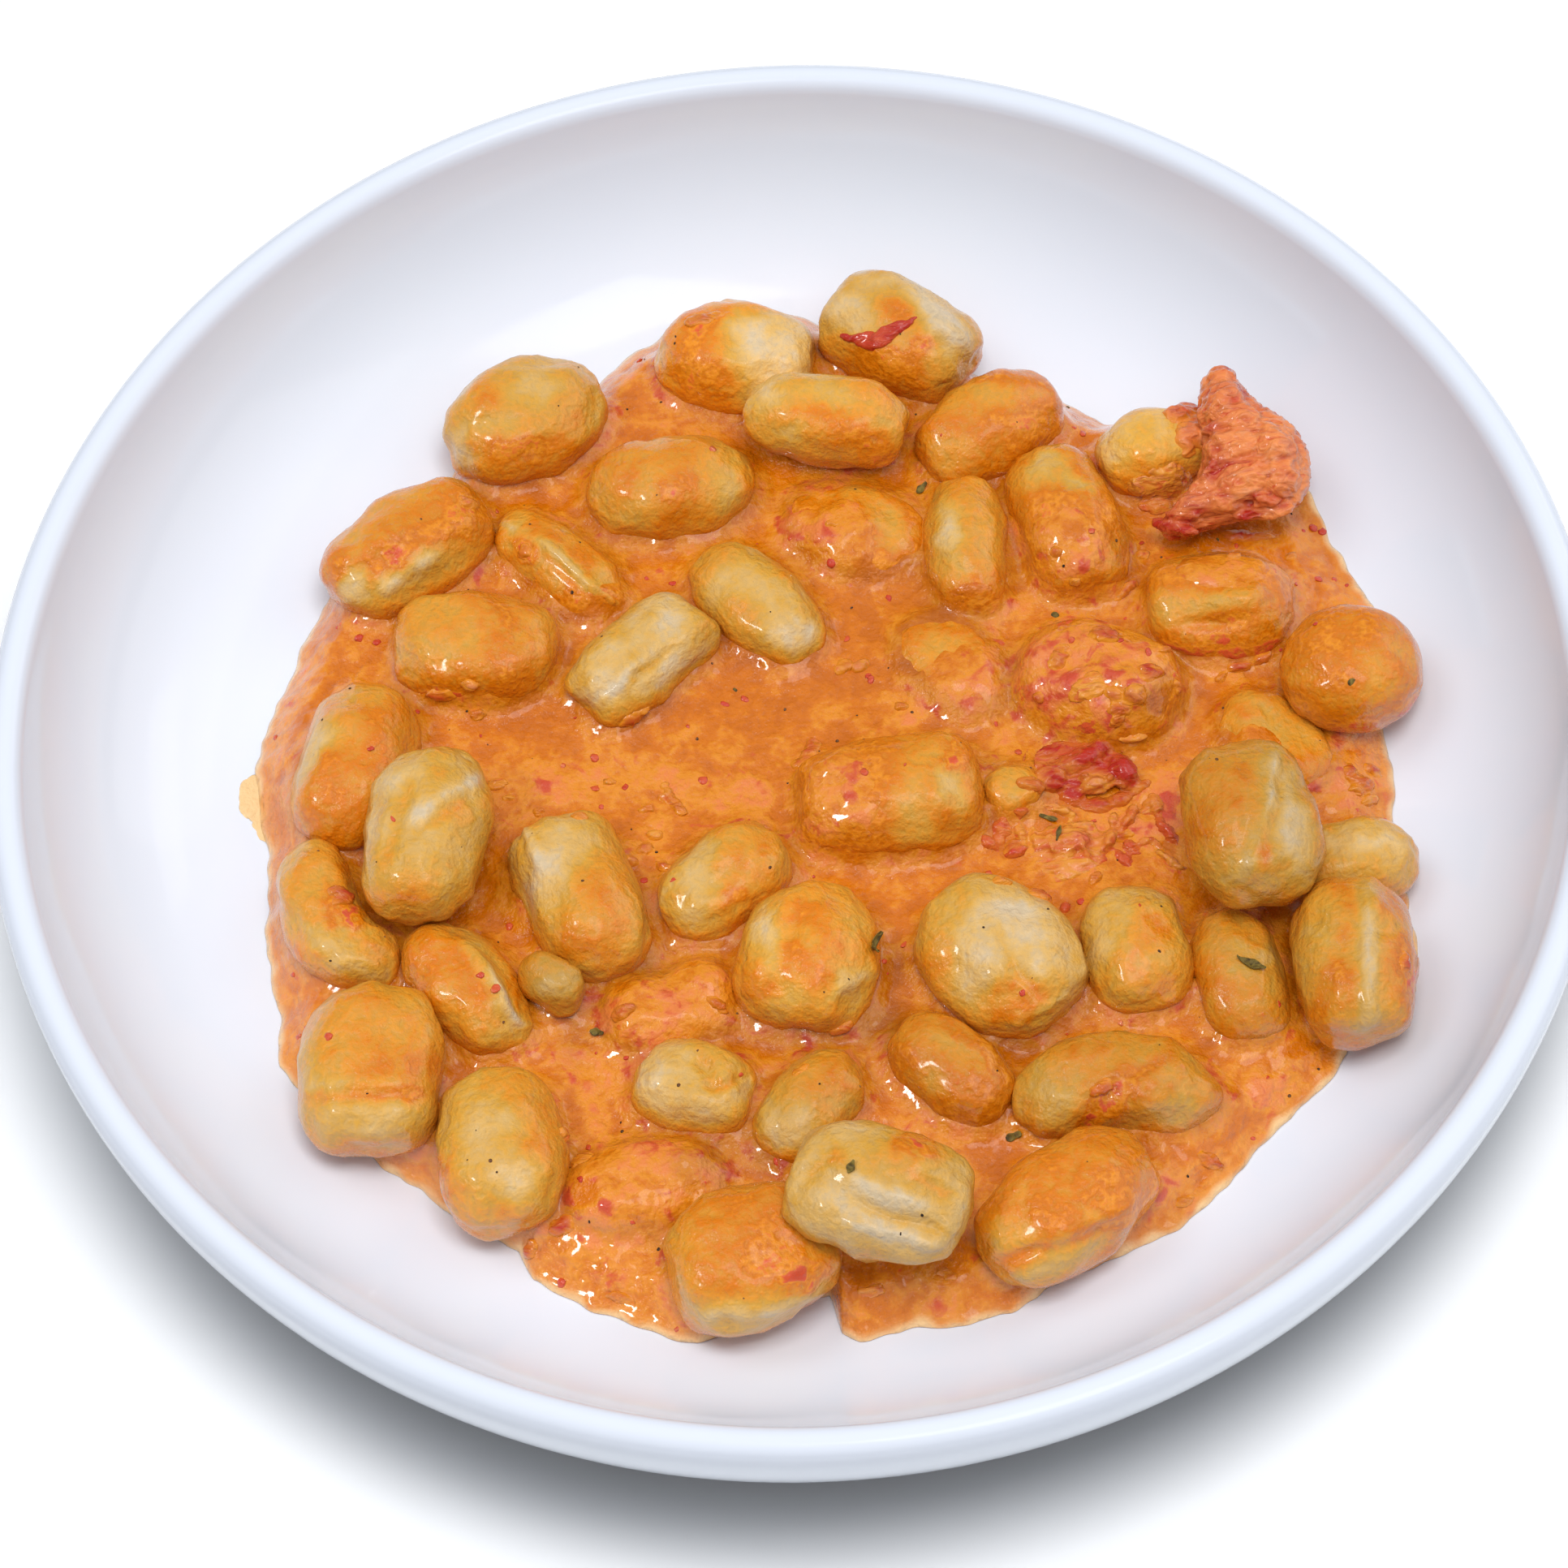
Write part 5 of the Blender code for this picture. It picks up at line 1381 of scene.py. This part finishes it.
def leaf_mesh(name, place, normal, size, seed, turn, curl):
    """A torn bit of leaf of this (length, width, thickness), curled along its length."""
    length, width, thick = size
    lean = random.Random(seed).uniform(-0.25, 0.25)
    top = []
    for step in range(LEAF_STEPS + 1):
        share = step / LEAF_STEPS
        x = length * (share - 0.5)
        half = width / 2 * max(0.06, sin(pi * (0.06 + 0.88 * share)) ** 0.7)
        half *= 1 + 0.3 * sin(7 * share + seed)
        for column in range(LEAF_COLUMNS + 1):
            y = half * (2 * column / LEAF_COLUMNS - 1)
            z = curl * (x / length * 2) ** 2 * length / 3
            z += 0.35 * curl * (y / width * 2) ** 2 * width + 0.12 * sin(3 * x + 2 * y + seed)
            top.append(Vector((x, y + lean * x, z)))
    laid = laid_turn(normal, turn)
    points = [place + laid @ (point + Vector((0, 0, side * thick / 2)))
              for side in (1, -1) for point in top]
    row = LEAF_COLUMNS + 1
    below = len(top)
    faces = []
    for first in range(0, LEAF_STEPS * row, row):
        for a in range(first, first + LEAF_COLUMNS):
            b = a + row
            faces.append((a, b, b + 1, a + 1))
            faces.append((below + a, below + a + 1, below + b + 1, below + b))
    edge = [(a, a + row) for first in (0, LEAF_COLUMNS)
            for a in range(first, first + LEAF_STEPS * row, row)]
    edge += [(a, a + 1) for first in (0, LEAF_STEPS * row)
             for a in range(first, first + LEAF_COLUMNS)]
    faces += [(a, b, below + b, below + a) for a, b in edge]
    return outwards(mesh_of(name, points, faces))


# ---------------------------------------------------------------- scattered bits

def top_skin(sauce, gnocchi, step):
    """What shows of the food from above, as an open mesh that knows where it is sauce."""
    tree = tree_of(sauce, *gnocchi)
    low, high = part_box("sauce")
    across, along = (np.arange(first / MM - 2, last / MM + 2, step).tolist()
                     for first, last in ((low.x, high.x), (low.y, high.y)))
    points = []
    on_sauce = []
    index = {}
    for row, y in enumerate(along):
        for column, x in enumerate(across):
            place, face = from_above(tree, x, y)
            if place is not None:
                index[row, column] = len(points)
                points.append(place)
                on_sauce.append(float(face < len(sauce.polygons)))
    faces = []
    for row, column in index:
        corners = [index.get((row + a, column + b)) for a, b in ((0, 0), (0, 1), (1, 1), (1, 0))]
        if None in corners:
            continue
        heights = [points[corner].z for corner in corners]
        if max(heights) - min(heights) < STEEPEST * step:
            faces.append(corners)
    mesh = mesh_of("top skin", points, faces)
    add_values(mesh, on_sauce=np.array(on_sauce))
    return mesh


def random_node(tree, low, high, seed):
    made = add_node(tree, "FunctionNodeRandomValue", {2: low, 3: high, "Seed": seed},
                    data_type="FLOAT")
    return made.outputs[1]


SCATTER_INPUTS = (
    ("Count per square metre", "NodeSocketFloat", 1000.0),
    ("Share on gnocchi", "NodeSocketFloat", 0.5),
    ("Smallest", "NodeSocketFloat", 0.0003),
    ("Largest", "NodeSocketFloat", 0.0008),
    ("Flatness", "NodeSocketFloat", 0.7),
    ("Roughness", "NodeSocketFloat", 0.0002),
    ("Seed", "NodeSocketInt", 1),
    ("Finish", "NodeSocketMaterial"),
)


def scatter_tree():
    """Geometry Nodes that strew uneven bits over a surface, with a random skin value each."""
    tree = bpy.data.node_groups.new("strewn bits", "GeometryNodeTree")
    geometry = ("Geometry", "NodeSocketGeometry")
    add_sockets(tree, "INPUT", (geometry, *SCATTER_INPUTS))
    add_sockets(tree, "OUTPUT", (geometry,))
    given = tree.nodes.new("NodeGroupInput").outputs
    end = tree.nodes.new("NodeGroupOutput")
    wet = add_node(tree, "GeometryNodeInputNamedAttribute", {"Name": "on_sauce"},
                   data_type="FLOAT").outputs["Attribute"]
    dry = math_node(tree, "SUBTRACT", 1.0, wet)
    share = math_node(tree, "MULTIPLY_ADD", dry, given["Share on gnocchi"], wet)
    strewn = add_node(tree, "GeometryNodeDistributePointsOnFaces", {
        "Mesh": given["Geometry"], "Seed": given["Seed"],
        "Density": math_node(tree, "MULTIPLY", share, given["Count per square metre"])}).outputs
    bit = add_node(tree, "GeometryNodeMeshIcoSphere", {"Radius": 1.0, "Subdivisions": 2})
    long = random_node(tree, given["Smallest"], given["Largest"], given["Seed"])
    wide = math_node(tree, "MULTIPLY", long, random_node(tree, 0.55, 1.0, WIDTH_SEED))
    high = math_node(tree, "MULTIPLY", wide, math_node(tree, "SUBTRACT", 1.0, given["Flatness"]))
    scale = add_node(tree, "ShaderNodeCombineXYZ", {"X": long, "Y": wide, "Z": high})
    placed = add_node(tree, "GeometryNodeInstanceOnPoints", {
        "Points": strewn["Points"], "Rotation": strewn["Rotation"],
        "Instance": bit.outputs["Mesh"], "Scale": scale.outputs["Vector"]})
    turn = add_node(tree, "FunctionNodeRandomValue", {
        0: (-0.3, -0.3, 0.0), 1: (0.3, 0.3, 6.283), "Seed": TURN_SEED}, data_type="FLOAT_VECTOR")
    turned = add_node(tree, "GeometryNodeRotateInstances", {
        "Instances": placed.outputs["Instances"], "Rotation": turn.outputs[0]})
    marked = add_node(tree, "GeometryNodeStoreNamedAttribute", {
        "Geometry": turned.outputs["Instances"], "Name": "skin",
        "Value": random_node(tree, 0.0, 1.0, SKIN_SEED)}, data_type="FLOAT", domain="INSTANCE")
    bumps = add_node(tree, "ShaderNodeTexNoise", {"Scale": 1500.0, "Detail": 1.0})
    centred = add_node(tree, "ShaderNodeVectorMath", {
        0: bumps.outputs["Color"], 1: (0.5, 0.5, 0.5)}, operation="SUBTRACT")
    shift = scaled_node(tree, centred.outputs["Vector"], given["Roughness"])
    bits = marked.outputs["Geometry"]
    for kind, values in (
            ("GeometryNodeRealizeInstances", {}),
            ("GeometryNodeSetPosition", {"Offset": shift}),
            ("GeometryNodeSetShadeSmooth", {}),
            ("GeometryNodeSetMaterial", {"Material": given["Finish"]})):
        bits = add_node(tree, kind, {"Geometry": bits, **values}).outputs["Geometry"]
    tree.links.new(bits, end.inputs["Geometry"])
    return tree


def strew(name, surface, tree, values):
    """A mesh of bits strewn over a surface, with these values for the tree's inputs."""
    piece = link_object(name + " surface", surface)
    strewn = piece.modifiers.new("strewn", "NODES")
    strewn.node_group = tree
    for item in tree.interface.items_tree:
        if item.in_out == "INPUT" and item.name in values:
            strewn[item.identifier] = values[item.name]
    mesh = evaluated_mesh(piece, name)
    bpy.data.objects.remove(piece)
    mesh.shade_smooth()
    return mesh


# ---------------------------------------------------------------- settings

def number(name, description, default, low, high):
    return FloatProperty(name=name, description=description, default=default, min=low, max=high)


def count(name, description, default, low, high):
    return IntProperty(name=name, description=description, default=default, min=low, max=high)


def length(name, description, default):
    return FloatProperty(name=name, description=description, default=default, min=0,
                         subtype="DISTANCE", unit="LENGTH", precision=5)


def tint(name, description, red, green, blue):
    return FloatVectorProperty(name=name, description=description, subtype="COLOR", size=4,
                               min=0, max=1, default=srgb(red, green, blue))


class GNOCCHI_PG_bowl(bpy.types.PropertyGroup):
    """Settings of the bowl"""
    sides: count("Sides", "Points round each ring of the bowl", 256, 32, 512)
    gloss: number("Glaze roughness", "How matt the glaze is", 0.1, 0, 1)
    white: tint("White", "Colour of the glaze", 233, 239, 249)
    white_deep: tint("Deep white", "Colour of the glaze where it lies thicker", 230, 236, 247)
    # Painted shade: the lip is painted a darker white to tone down the light it gets from overhead
    lip_painted_shade: tint("Lip", "Colour of the glaze on the lip, where it is thinnest", 226, 231, 242)
    bare_clay: tint("Bare clay", "Colour of the ring that the bowl stands on", 214, 206, 192)


class GNOCCHI_PG_tones(bpy.types.PropertyGroup):
    """Colours of the food"""
    dough_bare: tint("Bare dough", "Dough with no sauce on it", 208, 184, 148)
    dough_straw: tint("Straw dough", "Dough with hardly any sauce on it", 212, 170, 100)
    dough_ochre: tint("Ochre dough", "Dough that is stained by sauce", 206, 152, 54)
    dough_orange: tint("Orange dough", "Dough under a thin coat of sauce", 216, 140, 36)
    sauce_oil: tint("Oil", "Clear orange oil on the sauce", 194, 100, 0)
    sauce_plain: tint("Sauce", "Plain sauce", 208, 112, 0)
    sauce_cream: tint("Creamy sauce", "Thick sauce with cream", 222, 136, 26)
    sauce_pink: tint("Pink sauce", "Sauce thick with tomato", 224, 126, 58)
    sauce_edge: tint("Thin sauce", "Sauce that runs out thin at its edge", 222, 142, 60)
    sauce_pale: tint("Oil film", "Oil that runs out thinly on to the bowl", 240, 206, 150)
    tomato_pale: tint("Pale tomato", "Lightest tomato flesh", 246, 174, 112)
    tomato_flesh: tint("Tomato flesh", "Flesh of the large chunk", 234, 138, 72)
    tomato_strands: tint("Tomato strands", "Flesh of the pulp, the slice and the bits", 222, 146, 46)
    tomato_soft: tint("Soft tomato", "Cooked tomato flesh", 208, 84, 42)
    tomato_bits: tint("Tomato bits", "Deep red bits of tomato", 196, 60, 36)
    tomato_skin: tint("Tomato skin", "Dark red tomato skin", 178, 40, 24)
    herb_dark: tint("Dark herb", "Shaded parts of the herb bits", 70, 54, 22)
    herb_light: tint("Light herb", "Lit parts of the herb bits", 128, 108, 44)
    pepper_dark: tint("Dark pepper", "Pepper husk", 38, 26, 18)
    pepper_brown: tint("Brown pepper", "Pepper kernel", 120, 78, 46)


class GNOCCHI_PG_gnocchi(bpy.types.PropertyGroup):
    """Settings of the gnocchi"""
    fineness: count("Fineness", "Times that the packed shape is refined", 3, 1, 4)
    wrinkle: number("Wrinkles", "How strongly the dough wrinkles", 1.2, 0, 3)
    fold: number("Folds", "How high the folds stand", 1.4, 0, 3)


class GNOCCHI_PG_sauce(bpy.types.PropertyGroup):
    """Settings of the sauce"""
    cells: count("Fineness", "Cells along each side of its grid", 286, 60, 300)
    relief: number("Relief", "How uneven the surface is", 1.0, 0, 3)


class GNOCCHI_PG_tomato(bpy.types.PropertyGroup):
    """Settings of the tomato"""
    relief: length("Relief", "How deep the fibres lie", 0.0011)


class GNOCCHI_PG_garnish(bpy.types.PropertyGroup):
    """Settings of what is strewn on the food"""
    pepper: number("Pepper", "Bits of pepper to a square metre", 5200, 0, 20000)
    pepper_size: length("Pepper size", "Half the length of the largest bit", 0.00035)
    flecks: number("Tomato flecks", "Flecks of tomato to a square metre", 7000, 0, 40000)
    fleck_size: length("Fleck size", "Half the length of the largest fleck", 0.0009)
    herbs: number("Herb specks", "Small herb specks to a square metre", 500, 0, 10000)
    herb_size: length("Herb size", "Half the length of the largest speck", 0.0008)
    seed: count("Seed", "Number that the strewing follows", 4, 0, 1000)


class GNOCCHI_PG_stage(bpy.types.PropertyGroup):
    """Settings of the floor, the lights and the camera"""
    floor_half: length("Floor", "Half the side of the floor", 3.0)
    sky: number("Sky", "Strength of the light from overhead", 0.72, 0, 5)
    key: number("Key light", "Power of the main light overhead, in watts", 4.9, 0, 1000)
    left: number("Left light", "Power of the high light at the left, in watts", 1.6, 0, 1000)
    panel: number("Top panel", "Power of the panel that the glaze reflects, in watts", 0.7, 0,
                  1000)
    side: number("Side light", "Power of the soft light at the right, in watts", 1.4, 0, 1000)
    window: number("Window light", "Power of the light by the window, in watts", 0.17, 0, 1000)
    front: number("Front light", "Power of the small light in front, in watts", 1.3, 0, 1000)
    bowl_painted_shadow: tint("Under the bowl", "Colour of the floor in the bowl's own shade",
                     104, 104, 106)
    lens: number("Focal length", "Focal length of the camera, in mm", 101.48, 10, 400)


GROUPS = {
    "gnocchi_bowl": GNOCCHI_PG_bowl,
    "gnocchi_tones": GNOCCHI_PG_tones,
    "gnocchi_dough": GNOCCHI_PG_gnocchi,
    "gnocchi_sauce": GNOCCHI_PG_sauce,
    "gnocchi_tomato": GNOCCHI_PG_tomato,
    "gnocchi_garnish": GNOCCHI_PG_garnish,
    "gnocchi_stage": GNOCCHI_PG_stage,
}


# ---------------------------------------------------------------- operators

def gnocchi_in_scene():
    """The meshes of the gnocchi that are in the scene, by number."""
    found = {int(piece.name[-2:]): piece.data for piece in bpy.context.scene.objects
             if piece.name.startswith("potato_gnocco_")}
    if not found:
        raise RuntimeError("Build the gnocchi first")
    return found


def mesh_in_scene(name):
    """The mesh of a piece that an earlier step built."""
    piece = bpy.data.objects.get(name)
    if piece is None:
        raise RuntimeError(f"Build {name} first")
    return piece.data


class GNOCCHI_OT_bowl(bpy.types.Operator):
    """Builds the white bowl"""
    bl_idname = "gnocchi.bowl"
    bl_label = "Bowl"

    def execute(self, context):
        settings = context.scene.gnocchi_bowl
        add_piece("white_bowl", bowl_mesh(settings.sides), glaze_material(settings), "bowl")
        return {"FINISHED"}


class GNOCCHI_OT_gnocchi(bpy.types.Operator):
    """Builds the gnocchi from their packed shapes"""
    bl_idname = "gnocchi.gnocchi"
    bl_label = "Gnocchi"

    def execute(self, context):
        settings = context.scene.gnocchi_dough
        finish = dough_material(context.scene.gnocchi_tones)
        for order in COATS:
            node = f"gnocco_{order:02d}"
            mesh = refined_copy(node, settings.fineness)
            shape_gnocco(mesh, order, settings.wrinkle, settings.fold)
            add_piece("potato_" + node, mesh, finish, node)
        return {"FINISHED"}


class GNOCCHI_OT_sauce(bpy.types.Operator):
    """Builds the sauce round and over the gnocchi, and the drips of oil beside it"""
    bl_idname = "gnocchi.sauce"
    bl_label = "Sauce"

    def execute(self, context):
        settings = context.scene.gnocchi_sauce
        mesh = sauce_mesh(settings.cells, gnocchi_in_scene(), settings.relief)
        finish = sauce_material(context.scene.gnocchi_tones)
        add_piece("tomato_cream_sauce", mesh, finish, "sauce")
        bowl = tree_of(mesh_in_scene("white_bowl"))
        drips = [drip_mesh(*seen_place(x, y, bowl), size, DRIP_SEED + order, turn)
                 for order, (x, y, *size, turn) in enumerate(OIL_DRIPS)]
        add_piece("oil_drips", joined("oil drips", drips), finish)
        return {"FINISHED"}


class GNOCCHI_OT_tomato(bpy.types.Operator):
    """Builds the three large pieces of tomato, the bits in the sauce and the strip of skin"""
    bl_idname = "gnocchi.tomato"
    bl_label = "Tomato"

    def execute(self, context):
        tones = context.scene.gnocchi_tones
        relief = context.scene.gnocchi_tomato.relief / MM
        food = [*gnocchi_in_scene().values(), mesh_in_scene("tomato_cream_sauce")]
        bed = tree_of(*food)
        finishes = {}
        for node, (title, flesh, skin, part, most_sauce) in TOMATO_PIECES.items():
            packed = packed_tomato(node)
            mesh = tomato_mesh(node, TOMATO_LUMPS[node], tree_of(*food, packed), bed, node,
                               TOMATO_CELL, relief * part, most_sauce)
            bpy.data.meshes.remove(packed)
            finishes[node] = tomato_material(tones, title, getattr(tones, flesh),
                                             getattr(tones, skin))
            add_piece("cooked_" + node, mesh, finishes[node], node)
        skin = tomato_material(tones, "tomato skin", tones.tomato_soft, tones.tomato_skin)
        for name, lumps, part, most_sauce, finish in (
                ("tomato_bits", "bits", 0.6, 0.9, finishes["tomato_slice"]),
                ("tomato_skin_strip", "skin", 0.3, 0.0, skin)):
            mesh = tomato_mesh(name, TOMATO_LUMPS[lumps], bed, bed, None, BITS_CELL,
                               relief * part, most_sauce)
            add_piece(name, mesh, finish)
        return {"FINISHED"}


class GNOCCHI_OT_garnish(bpy.types.Operator):
    """Strews pepper, tomato flecks and herbs over the food"""
    bl_idname = "gnocchi.garnish"
    bl_label = "Pepper, flecks and herbs"

    def execute(self, context):
        settings = context.scene.gnocchi_garnish
        tones = context.scene.gnocchi_tones
        sauce = mesh_in_scene("tomato_cream_sauce")
        gnocchi = gnocchi_in_scene().values()
        food = tree_of(sauce, *gnocchi, *(
            mesh_in_scene("cooked_" + node) for node in TOMATO_PIECES))
        leaves = []
        for seed, (x, y, long, wide, turn, curl) in enumerate(HERB_BITS):
            place, normal = seen_place(x, y, food)
            leaves.append(leaf_mesh("leaf", place + normal * 0.2, normal,
                                    (long, wide, LEAF_THICKNESS), seed, turn, curl))
        surface = top_skin(sauce, gnocchi, SKIN_STEP)
        tree = scatter_tree()
        red = tomato_material(tones, "tomato bits", tones.tomato_soft, tones.tomato_bits)
        kinds = (
            ("black_pepper", settings.pepper, 0.7, settings.pepper_size, 0.35, 0.25, 0.0002,
             pepper_material(tones), None, []),
            ("tomato_flecks", settings.flecks, 0.12, settings.fleck_size, 0.3, 0.6, 0.0006,
             red, "tomato", []),
            ("herb_specks", settings.herbs, 0.35, settings.herb_size, 0.4, 0.8, 0.0003,
             herb_material(tones), None, leaves),
        )
        for order, (name, many, share, most, least, flat, rough, finish, slot,
                    more) in enumerate(kinds):
            mesh = strew(name, surface, tree, {
                "Count per square metre": many, "Share on gnocchi": share,
                "Smallest": most * least, "Largest": most, "Flatness": flat,
                "Roughness": rough, "Seed": settings.seed + order, "Finish": finish})
            add_piece(name, joined(name, [mesh] + more), finish)
        bpy.data.meshes.remove(surface)
        bpy.data.node_groups.remove(tree)
        return {"FINISHED"}


def add_light(name, azimuth, elevation, size, power, colour):
    """A rectangular light that faces the food from this direction, in degrees."""
    lamp = bpy.data.lights.new(name, "AREA")
    lamp.shape = "RECTANGLE"
    lamp.size, lamp.size_y = size
    lamp.energy = power
    lamp.color = colour
    level = cos(radians(elevation))
    out = Vector((sin(radians(azimuth)) * level, cos(radians(azimuth)) * level,
                  sin(radians(elevation))))
    light = link_object(name, lamp)
    light.matrix_world = (Matrix.Translation(Vector(LIGHT_AIM) + out * LIGHT_DISTANCE)
                          @ out.to_track_quat("Z", "Y").to_matrix().to_4x4())
    return light


def studio_sky(strength):
    """Soft light from all round, most of it from overhead."""
    sky = bpy.data.worlds.new("studio")
    sky.use_nodes = True
    tree = sky.node_tree
    way = add_node(tree, "ShaderNodeTexCoord").outputs["Generated"]
    height = add_node(tree, "ShaderNodeSeparateXYZ", {0: way}).outputs["Z"]
    shell = tree.nodes["Background"]
    shell.inputs["Color"].default_value = (0.87, 0.93, 1.0, 1.0)
    shown = range_node(tree, height, 0.15, 0.95, 0.12 * strength, strength)
    glossy = add_node(tree, "ShaderNodeLightPath").outputs["Is Glossy Ray"]
    kept = math_node(tree, "MULTIPLY_ADD", glossy, -0.6, 1.0)
    tree.links.new(math_node(tree, "MULTIPLY", shown, kept), shell.inputs["Strength"])
    return sky


def pale_floor(settings):
    """The plain floor, with a painted shadow in an even ring under the bowl."""
    half = settings.floor_half / MM
    corners = [(-half, -half), (half, -half), (half, half), (-half, half)]
    floor = link_object("pale_floor", mesh_of(
        "pale floor", [(x, y, FLOOR_DROP) for x, y in corners], [(0, 1, 2, 3)]))
    made, tree, shader, place = new_material("pale floor", 0.7)
    out = add_node(tree, "ShaderNodeVectorMath", {0: place}, operation="LENGTH")
    # Painted shadow: the floor is painted darker in a ring under the bowl
    under = range_node(tree, out.outputs["Value"], *BOWL_SHADE_REACH, 1.0, 0.0)
    pale = mix_node(tree, noise_node(tree, place, 6.0), srgb(246, 246, 247), srgb(249, 249, 249))
    tree.links.new(mix_node(tree, under, pale, settings.bowl_painted_shadow), shader.inputs["Base Color"])
    shader.inputs["Emission Color"].default_value = (1, 1, 1, 1)
    shader.inputs["Emission Strength"].default_value = 0.06
    floor.data.materials.append(made)
    return floor


def diner_camera(lens):
    """The camera at the diner's view."""
    view = bpy.data.cameras.new("diner's view")
    view.lens = lens
    view.sensor_width = 36.0
    view.clip_start = 0.01
    camera = link_object("diner's view", view)
    turned = Matrix((VIEW_RIGHT, VIEW_UP, VIEW_TOWARDS)).transposed().to_4x4()
    camera.matrix_world = Matrix.Translation(EYE * MM) @ turned
    return camera


class GNOCCHI_OT_stage(bpy.types.Operator):
    """Sets up the pale floor, the lights and the camera at the diner's view"""
    bl_idname = "gnocchi.stage"
    bl_label = "Stage"

    def execute(self, context):
        settings = context.scene.gnocchi_stage
        scene = context.scene
        pale_floor(settings)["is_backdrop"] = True
        scene.world = studio_sky(settings.sky)
        for name, power, azimuth, elevation, size, colour, reflected, on_bowl in LIGHTS:
            light = add_light(name, azimuth, elevation, size, getattr(settings, power), colour)
            light.visible_glossy = reflected
            if not on_bowl:
                food = bpy.data.collections.new("food")
                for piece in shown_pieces():
                    if piece.name != "white_bowl":
                        food.objects.link(piece)
                light.light_linking.receiver_collection = food
        scene.camera = diner_camera(settings.lens)
        scene.view_settings.view_transform = "Standard"
        return {"FINISHED"}


class GNOCCHI_PT_dish(bpy.types.Panel):
    """Lists the steps of dressing the dish"""
    bl_idname = "GNOCCHI_PT_dish"
    bl_label = "Gnocchi in tomato cream"
    bl_space_type = "VIEW_3D"
    bl_region_type = "UI"
    bl_category = "Gnocchi"

    def draw(self, context):
        for operator in STEPS:
            self.layout.operator(operator.bl_idname)
        for name, group in GROUPS.items():
            box = self.layout.box()
            box.label(text=group.__doc__)
            settings = getattr(context.scene, name)
            for title in group.__annotations__:
                box.prop(settings, title)


STEPS = (GNOCCHI_OT_bowl, GNOCCHI_OT_gnocchi, GNOCCHI_OT_sauce, GNOCCHI_OT_tomato,
         GNOCCHI_OT_garnish, GNOCCHI_OT_stage)


def register():
    for group in GROUPS.values():
        bpy.utils.register_class(group)
    for step in STEPS:
        bpy.utils.register_class(step)
    bpy.utils.register_class(GNOCCHI_PT_dish)
    for name, group in GROUPS.items():
        setattr(bpy.types.Scene, name, PointerProperty(type=group))


def unregister():
    for name in GROUPS:
        delattr(bpy.types.Scene, name)
    bpy.utils.unregister_class(GNOCCHI_PT_dish)
    for step in reversed(STEPS):
        bpy.utils.unregister_class(step)
    for group in reversed(GROUPS.values()):
        bpy.utils.unregister_class(group)


def main():
    register()
    bpy.ops.gnocchi.bowl()
    bpy.ops.gnocchi.gnocchi()
    bpy.ops.gnocchi.sauce()
    bpy.ops.gnocchi.tomato()
    bpy.ops.gnocchi.garnish()
    bpy.ops.gnocchi.stage()


if __name__ == "__main__":
    main()
